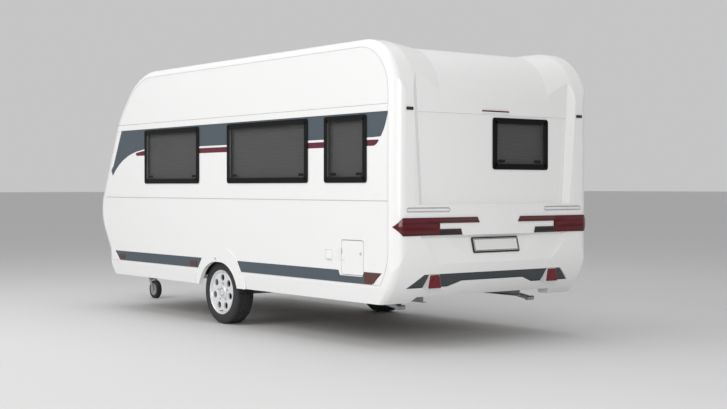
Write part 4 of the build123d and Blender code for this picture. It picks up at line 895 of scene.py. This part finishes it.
# ---- Roof lights and vents -----------------------------------------------------------
# Crowned acrylic domes on white frames light the cabin through the roof, and two louvred
# plastic covers ventilate the refrigerator on the door side.
vent_white = finish("vent_white", (0.72, 0.72, 0.71), 0.45, shade=0.95, scale=12.0, grain=500.0,
                    bump=0.2)
dress(vent_white, "fridge_vents")
dome_acrylic = see_through("dome_acrylic", (0.62, 0.64, 0.66), 0.72, roughness=0.18)
ROOF_FLOOR = 2.571
FRAME_ROUND, FRAME_THICK, FRAME_BORDER = 0.040, 0.020, 0.045
DOME_MARGIN = 0.034
DOME_CROWN = 0.033
DOME_SQUARE = 6
DOME_WALL = 0.004
# Each rooflight: station of its middle, edge.
ROOFLIGHTS = [(1.300, 0.400), (2.600, 0.700), (3.700, 0.400)]
for index, (x, size) in enumerate(ROOFLIGHTS):
    place = Matrix.Translation((rear_x + x, 0, ROOF_FLOOR))
    light_frame = panel(f"rooflight_{index}_frame", place, (size, size), FRAME_ROUND, FRAME_THICK,
                        vent_white, border=FRAME_BORDER, edge=0.006)
    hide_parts("rooflights")
    across = size - DOME_MARGIN
    bpy.ops.mesh.primitive_grid_add(x_subdivisions=16, y_subdivisions=16, size=across)
    dome = bpy.context.object
    for spot in dome.data.vertices:
        u, v = (min(1.0, abs(way) * 2 / across) for way in spot.co[:2])
        flat = (1 - u ** DOME_SQUARE) * (1 - v ** DOME_SQUARE)
        spot.co.z = FRAME_THICK + DOME_CROWN * math.sqrt(flat)
    thicken(dome, DOME_WALL, offset=-1.0)
    bpy.ops.object.shade_smooth()
    dome.matrix_world = place
    settle(dome, f"rooflight_{index}_dome", dome_acrylic, "caravan")


# ---- Road wheels ---------------------------------------------------------------------
# Steel-belted tyres with five ribs and cut blocks, on silver lacquered steel rims with
# seven round windows. The rim's flange grips the bead just inside the tyre's wall.
tyre_rubber = finish("tyre_rubber", (0.042, 0.042, 0.043), 0.72, shade=0.75, scale=9.0, grain=400.0,
                     bump=0.25, depth=0.0005, spread=0.15, specular=0.3)
AXLE = (rear_x + 2.853, 0.316)
WHEEL_MID = 0.9875
TREAD_R = 0.3155
GROOVE_R = 0.3085
SHOULDER_R, SHOULDER_HALF = 0.3135, 0.0800
RIB_SLOPE = 0.0008
# Edges of the tread's ribs across the tyre.
TREAD_RIBS = [(-0.074, -0.050), (-0.042, -0.018), (-0.010, 0.010), (0.018, 0.042), (0.050, 0.074)]
tread = []
for low, high in TREAD_RIBS:
    tread += [(GROOVE_R, low - RIB_SLOPE), (TREAD_R, low), (TREAD_R, high),
              (GROOVE_R, high + RIB_SLOPE)]
tread[0] = (SHOULDER_R, -SHOULDER_HALF)
tread[-1] = (SHOULDER_R, SHOULDER_HALF)
# Sections are radius and distance from the tyre's middle, outwards.
WALL = [(0.3030, 0.0930), (0.2880, 0.1000), (0.2700, 0.1025), (0.2560, 0.1020), (0.2530, 0.1032),
        (0.2490, 0.1018), (0.2360, 0.0990), (0.2250, 0.0930), (0.2190, 0.0820), (0.2100, 0.0740),
        (0.2075, 0.0740)]
TYRE_SECTION = [(r, -h) for r, h in reversed(WALL)] + tread + WALL
TREAD_STEPS = 144
STUD_DEPTH = 0.006
BLOCK_LEAST_R = 0.312
BLOCK_TILT = 0.4
# Ribs that are cut in blocks: from and to across the tyre, and steps from cut to cut.
CUT_RIBS = [(0.050, 0.076, 3), (0.018, 0.042, 4)]
FLANGE = [(0.2065, 0.0700), (0.2110, 0.0760), (0.2200, 0.0800), (0.2230, 0.0860), (0.2225, 0.0925),
          (0.2180, 0.0960), (0.2120, 0.0930), (0.2080, 0.0860), (0.2030, 0.0780), (0.1965, 0.0700)]
# A black ring behind the rim's windows, turning with the wheel, is painted shade: it darkens what
# is seen through the windows.
WINDOW_SHADE_RING = [(0.1265, 0.002), (0.1950, 0.002), (0.1950, 0.005), (0.1265, 0.005)]
CAP_OUT = 0.0835
CAP_RING = [(0.030, 0), (0.044, 0), (0.044, 0.002), (0.041, 0.004), (0.034, 0.004), (0.030, 0.002)]
BOLTS = 5
BOLT_R, BOLT_OUT = 0.086, 0.064
BOLT = [(0, 0), (0.012, 0), (0.013, 0.004), (0.0095, 0.006), (0.0095, 0.016), (0.008, 0.018),
        (0, 0.018)]
VALVE_R, VALVE_OUT = 0.186, 0.076
VALVE = [(0, 0), (0.006, 0), (0.005, 0.010), (0.004, 0.024), (0.0045, 0.026), (0.0045, 0.034),
         (0, 0.034)]
rim_lacquer = finish("rim_lacquer", (0.72, 0.73, 0.745), 0.28, shade=0.95, scale=6.0, bump=0.05,
                     coat=0.5, metallic=0.15)
black_paint = finish("black_paint", (0.020, 0.020, 0.022), 0.42, shade=0.7, scale=12.0, grain=200.0,
                     bump=0.15, depth=0.0004)
bright_steel = finish("bright_steel", (0.62, 0.63, 0.64), 0.25, shade=0.85, scale=30.0,
                      spread=0.12, metallic=1.0)
dress(rim_lacquer, "rim_left", "rim_right")
dress(black_paint, "brake_drum_left", "brake_drum_right")
dress(black_plastic, "wheel_arches")
dress(coach_white, "arch_trims")


def in_block_gap(face):
    """Whether a tread face lies in a cut between two blocks of the outer ribs."""
    radius = math.hypot(face.center.x, face.center.y)
    turn = round(math.atan2(face.center.y, face.center.x) / (2 * math.pi / TREAD_STEPS) - 0.5)
    across = abs(face.center.z)
    return radius > BLOCK_LEAST_R and abs(face.normal.z) < BLOCK_TILT and any(
        low < across < high and turn % steps == 0 for low, high, steps in CUT_RIBS)


hubs = [(hand, on_side(side, AXLE[0], side * WHEEL_MID, AXLE[1]))
        for side, hand in ((1, "left"), (-1, "right"))]


def on_hubs(part, move=(0, 0, 0)):
    """Name, place and body of a part of both wheels."""
    return [(f"{part}_{hand}", hub @ Matrix.Translation(move), f"wheel_{hand}")
            for hand, hub in hubs]


tyre = turned_shape(TYRE_SECTION, steps=TREAD_STEPS, smooth=28)
pick(tyre, in_block_gap)
bpy.ops.mesh.extrude_region_shrink_fatten(TRANSFORM_OT_shrink_fatten={"value": -STUD_DEPTH})
bpy.ops.object.mode_set(mode="OBJECT")
tyres = settle_each(tyre, on_hubs("tyre_tread"), tyre_rubber)
for piece, (hand, _) in zip(tyres, hubs):
    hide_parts(f"tyre_{hand}")
settle_each(turned_shape(FLANGE, steps=96, smooth=60), on_hubs("rim_flange"), rim_lacquer)
# The black ring behind the rim's windows is painted shade.
settle_each(turned_shape(WINDOW_SHADE_RING, steps=64), on_hubs("window_shade_ring"), black_paint)
settle_each(turned_shape(CAP_RING, steps=48), on_hubs("cap_ring", (0, 0, CAP_OUT)), bright_steel)
bolt_turns = [2 * math.pi * (index + 0.25) / BOLTS for index in range(BOLTS)]
bolt_moves = [(BOLT_R * math.cos(turn), BOLT_R * math.sin(turn), BOLT_OUT) for turn in bolt_turns]
settle_each(turned_shape(BOLT, steps=6, smooth=20),
            [(f"wheel_bolt_{hand}_{index}", hub @ Matrix.Translation(move), f"wheel_{hand}")
             for hand, hub in hubs for index, move in enumerate(bolt_moves)],
            bright_steel)
settle_each(turned_shape(VALVE, steps=12), on_hubs("valve", (0.0, -VALVE_R, VALVE_OUT)),
            black_plastic)


# ---- Chassis and steadies ------------------------------------------------------------
# Hot-dip galvanised pressed rails, drawbar, axle tube and corner steadies, dull grey with
# a spangle, under a plywood floor. A brake rod runs back to the axle.
def galvanise():
    """Zinc with its spangle, each crystal a little lighter or darker."""
    material = finish("galvanised_steel", (0.50, 0.52, 0.54), 0.42, shade=0.72, scale=24.0,
                      grain=120.0, bump=0.2, depth=0.0004, spread=0.2, metallic=0.85)
    inside, link = material.node_tree.nodes, material.node_tree.links.new
    place, spangle = inside.new("ShaderNodeTexCoord"), inside.new("ShaderNodeTexVoronoi")
    tone, mix = inside.new("ShaderNodeMapRange"), inside.new("ShaderNodeVectorMath")
    spangle.inputs["Scale"].default_value = 95.0
    link(place.outputs["Object"], spangle.inputs["Vector"])
    tone.inputs["To Min"].default_value = 0.72
    tone.inputs["To Max"].default_value = 1.1
    link(spangle.outputs["Color"], tone.inputs["Value"])
    mix.operation = "SCALE"
    link(inside["surface"].outputs["Color"], mix.inputs[0])
    link(tone.outputs["Result"], mix.inputs["Scale"])
    link(mix.outputs[0], inside["Principled BSDF"].inputs["Base Color"])
    return material


galvanised = galvanise()
dress(galvanised, "chassis_rails", "drawbar", "cross_members", "swing_arms", "axle_beam",
      "steady_brackets", "steady_rear_left", "steady_rear_right", "steady_front_left",
      "steady_front_right")
ROD_START, ROD_Y, ROD_Z = 3.100, 0.090, 0.372
ROD_R, ROD_LENGTH = 0.005, 2.900


def pointing_ahead(x, y, z):
    """Axes of a turned piece whose own axis runs forwards."""
    return Matrix(((0, 0, 1, x), (1, 0, 0, y), (0, 1, 0, z), (0, 0, 0, 1)))


rod = turned_shape([(0, 0), (ROD_R, 0), (ROD_R, ROD_LENGTH), (0, ROD_LENGTH)], steps=12)
rod.matrix_world = pointing_ahead(rear_x + ROD_START, ROD_Y, ROD_Z)
settle(rod, "brake_rod", bright_steel, "caravan")
floor_ply = finish("floor_ply", (0.26, 0.20, 0.14), 0.6, shade=0.7, scale=8.0)
dress(floor_ply, "floor", "locker_bulkhead")


# ---- Coupling, jockey wheel and gas locker -------------------------------------------
# The cast overrun head slides in its housing behind a rubber bellows. The jockey wheel
# has a rubber tyre on a pressed hub, and two gas bottles stand behind the front lid.
rubber = finish("bellows_rubber", (0.022, 0.022, 0.023), 0.6, shade=0.8, scale=20.0, bump=0.1,
                specular=0.35)
dress(rubber, "jockey_wheel")
dress(black_paint, "overrun_housing", "coupling_head", "handbrake_lever")
dress(galvanised, "draw_tube", "jockey_clamp", "jockey_rod", "jockey_fork")
FOLDS = 7
BELLOWS_X, BELLOWS_Z, BELLOWS_LENGTH = 6.260, 0.500, 0.100
CUFF_R, RIDGE_R, VALLEY_R = 0.026, 0.037, 0.030
FOLD_START, FOLD_PITCH = 0.006, 0.088 / FOLDS
bellows_section = [(CUFF_R, 0.0), (RIDGE_R, 0.0)]
for index in range(FOLDS):
    start = FOLD_START + index * FOLD_PITCH
    bellows_section += [(RIDGE_R, start), (VALLEY_R, start + FOLD_PITCH / 2)]
bellows_section += [(RIDGE_R, FOLD_START + FOLDS * FOLD_PITCH), (RIDGE_R, BELLOWS_LENGTH),
                    (CUFF_R, BELLOWS_LENGTH)]
sleeve = turned_shape(bellows_section, steps=40, smooth=25)
sleeve.matrix_world = pointing_ahead(rear_x + BELLOWS_X, 0, BELLOWS_Z)
settle(sleeve, "bellows_folds", rubber, "caravan")
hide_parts("bellows")

JOCKEY_X, JOCKEY_Y, JOCKEY_Z, HUB_OUT = rear_x + 5.850, 0.205, 0.110, 0.0295
JOCKEY_HUB = [(0.012, -0.001), (0.070, -0.001), (0.072, 0.0005), (0.060, 0.0012), (0.030, 0.0012),
              (0.012, 0.0005)]
settle_each(turned_shape(JOCKEY_HUB, steps=32),
            [(f"jockey_hub_{hand}",
              on_side(side, JOCKEY_X, JOCKEY_Y + side * HUB_OUT, JOCKEY_Z), "jockey_wheel")
             for side, hand in ((1, "left"), (-1, "right"))], galvanised)

bottle_paint = finish("bottle_paint", (0.36, 0.37, 0.38), 0.4, shade=0.85, scale=6.0, bump=0.15)
dress(bottle_paint, "gas_bottles")
dress(coach_white, "gas_locker_lid")
brass = finish("brass", (0.62, 0.42, 0.16), 0.3, shade=0.8, scale=30.0, metallic=1.0)
BOTTLE_X, BOTTLE_Y, BOTTLE_TOP = 4.954, 0.200, 1.004
BOTTLE_VALVE = [(0, 0), (0.020, 0), (0.020, 0.018), (0.012, 0.022), (0.012, 0.045), (0.026, 0.048),
                (0.026, 0.062), (0.010, 0.066), (0, 0.066)]
settle_each(turned_shape(BOTTLE_VALVE, steps=20),
            [(f"bottle_valve_{hand}",
              Matrix.Translation((rear_x + BOTTLE_X, side * BOTTLE_Y, BOTTLE_TOP)), "caravan")
             for side, hand in ((1, "left"), (-1, "right"))], brass)

# The lid is curved, so each lock is found a place and a facing on its skin.
LOCK_Y, LOCK_Z = 0.600, 0.770
AHEAD_OF_LID = 6.0
LID_LOCK = [(0, -0.003), (0.022, -0.003), (0.022, 0.003), (0.019, 0.006), (0.006, 0.006),
            (0.005, 0.003), (0, 0.003)]
lid_spots = []
for side, hand in ((1, "left"), (-1, "right")):
    _, spot, out, _ = nodes["gas_locker_lid"].ray_cast(
        Vector((rear_x + AHEAD_OF_LID, side * LOCK_Y, LOCK_Z)), Vector((-1, 0, 0)))
    up = (Vector((0, 0, 1)) - out * out.z).normalized()
    across = up.cross(out)
    place = Matrix(((across.x, up.x, out.x, spot.x), (across.y, up.y, out.y, spot.y),
                    (across.z, up.z, out.z, spot.z), (0, 0, 0, 1)))
    lid_spots.append((f"lid_lock_{hand}", place, "gas_locker_lid"))
settle_each(turned_shape(LID_LOCK, steps=32), lid_spots, black_plastic)
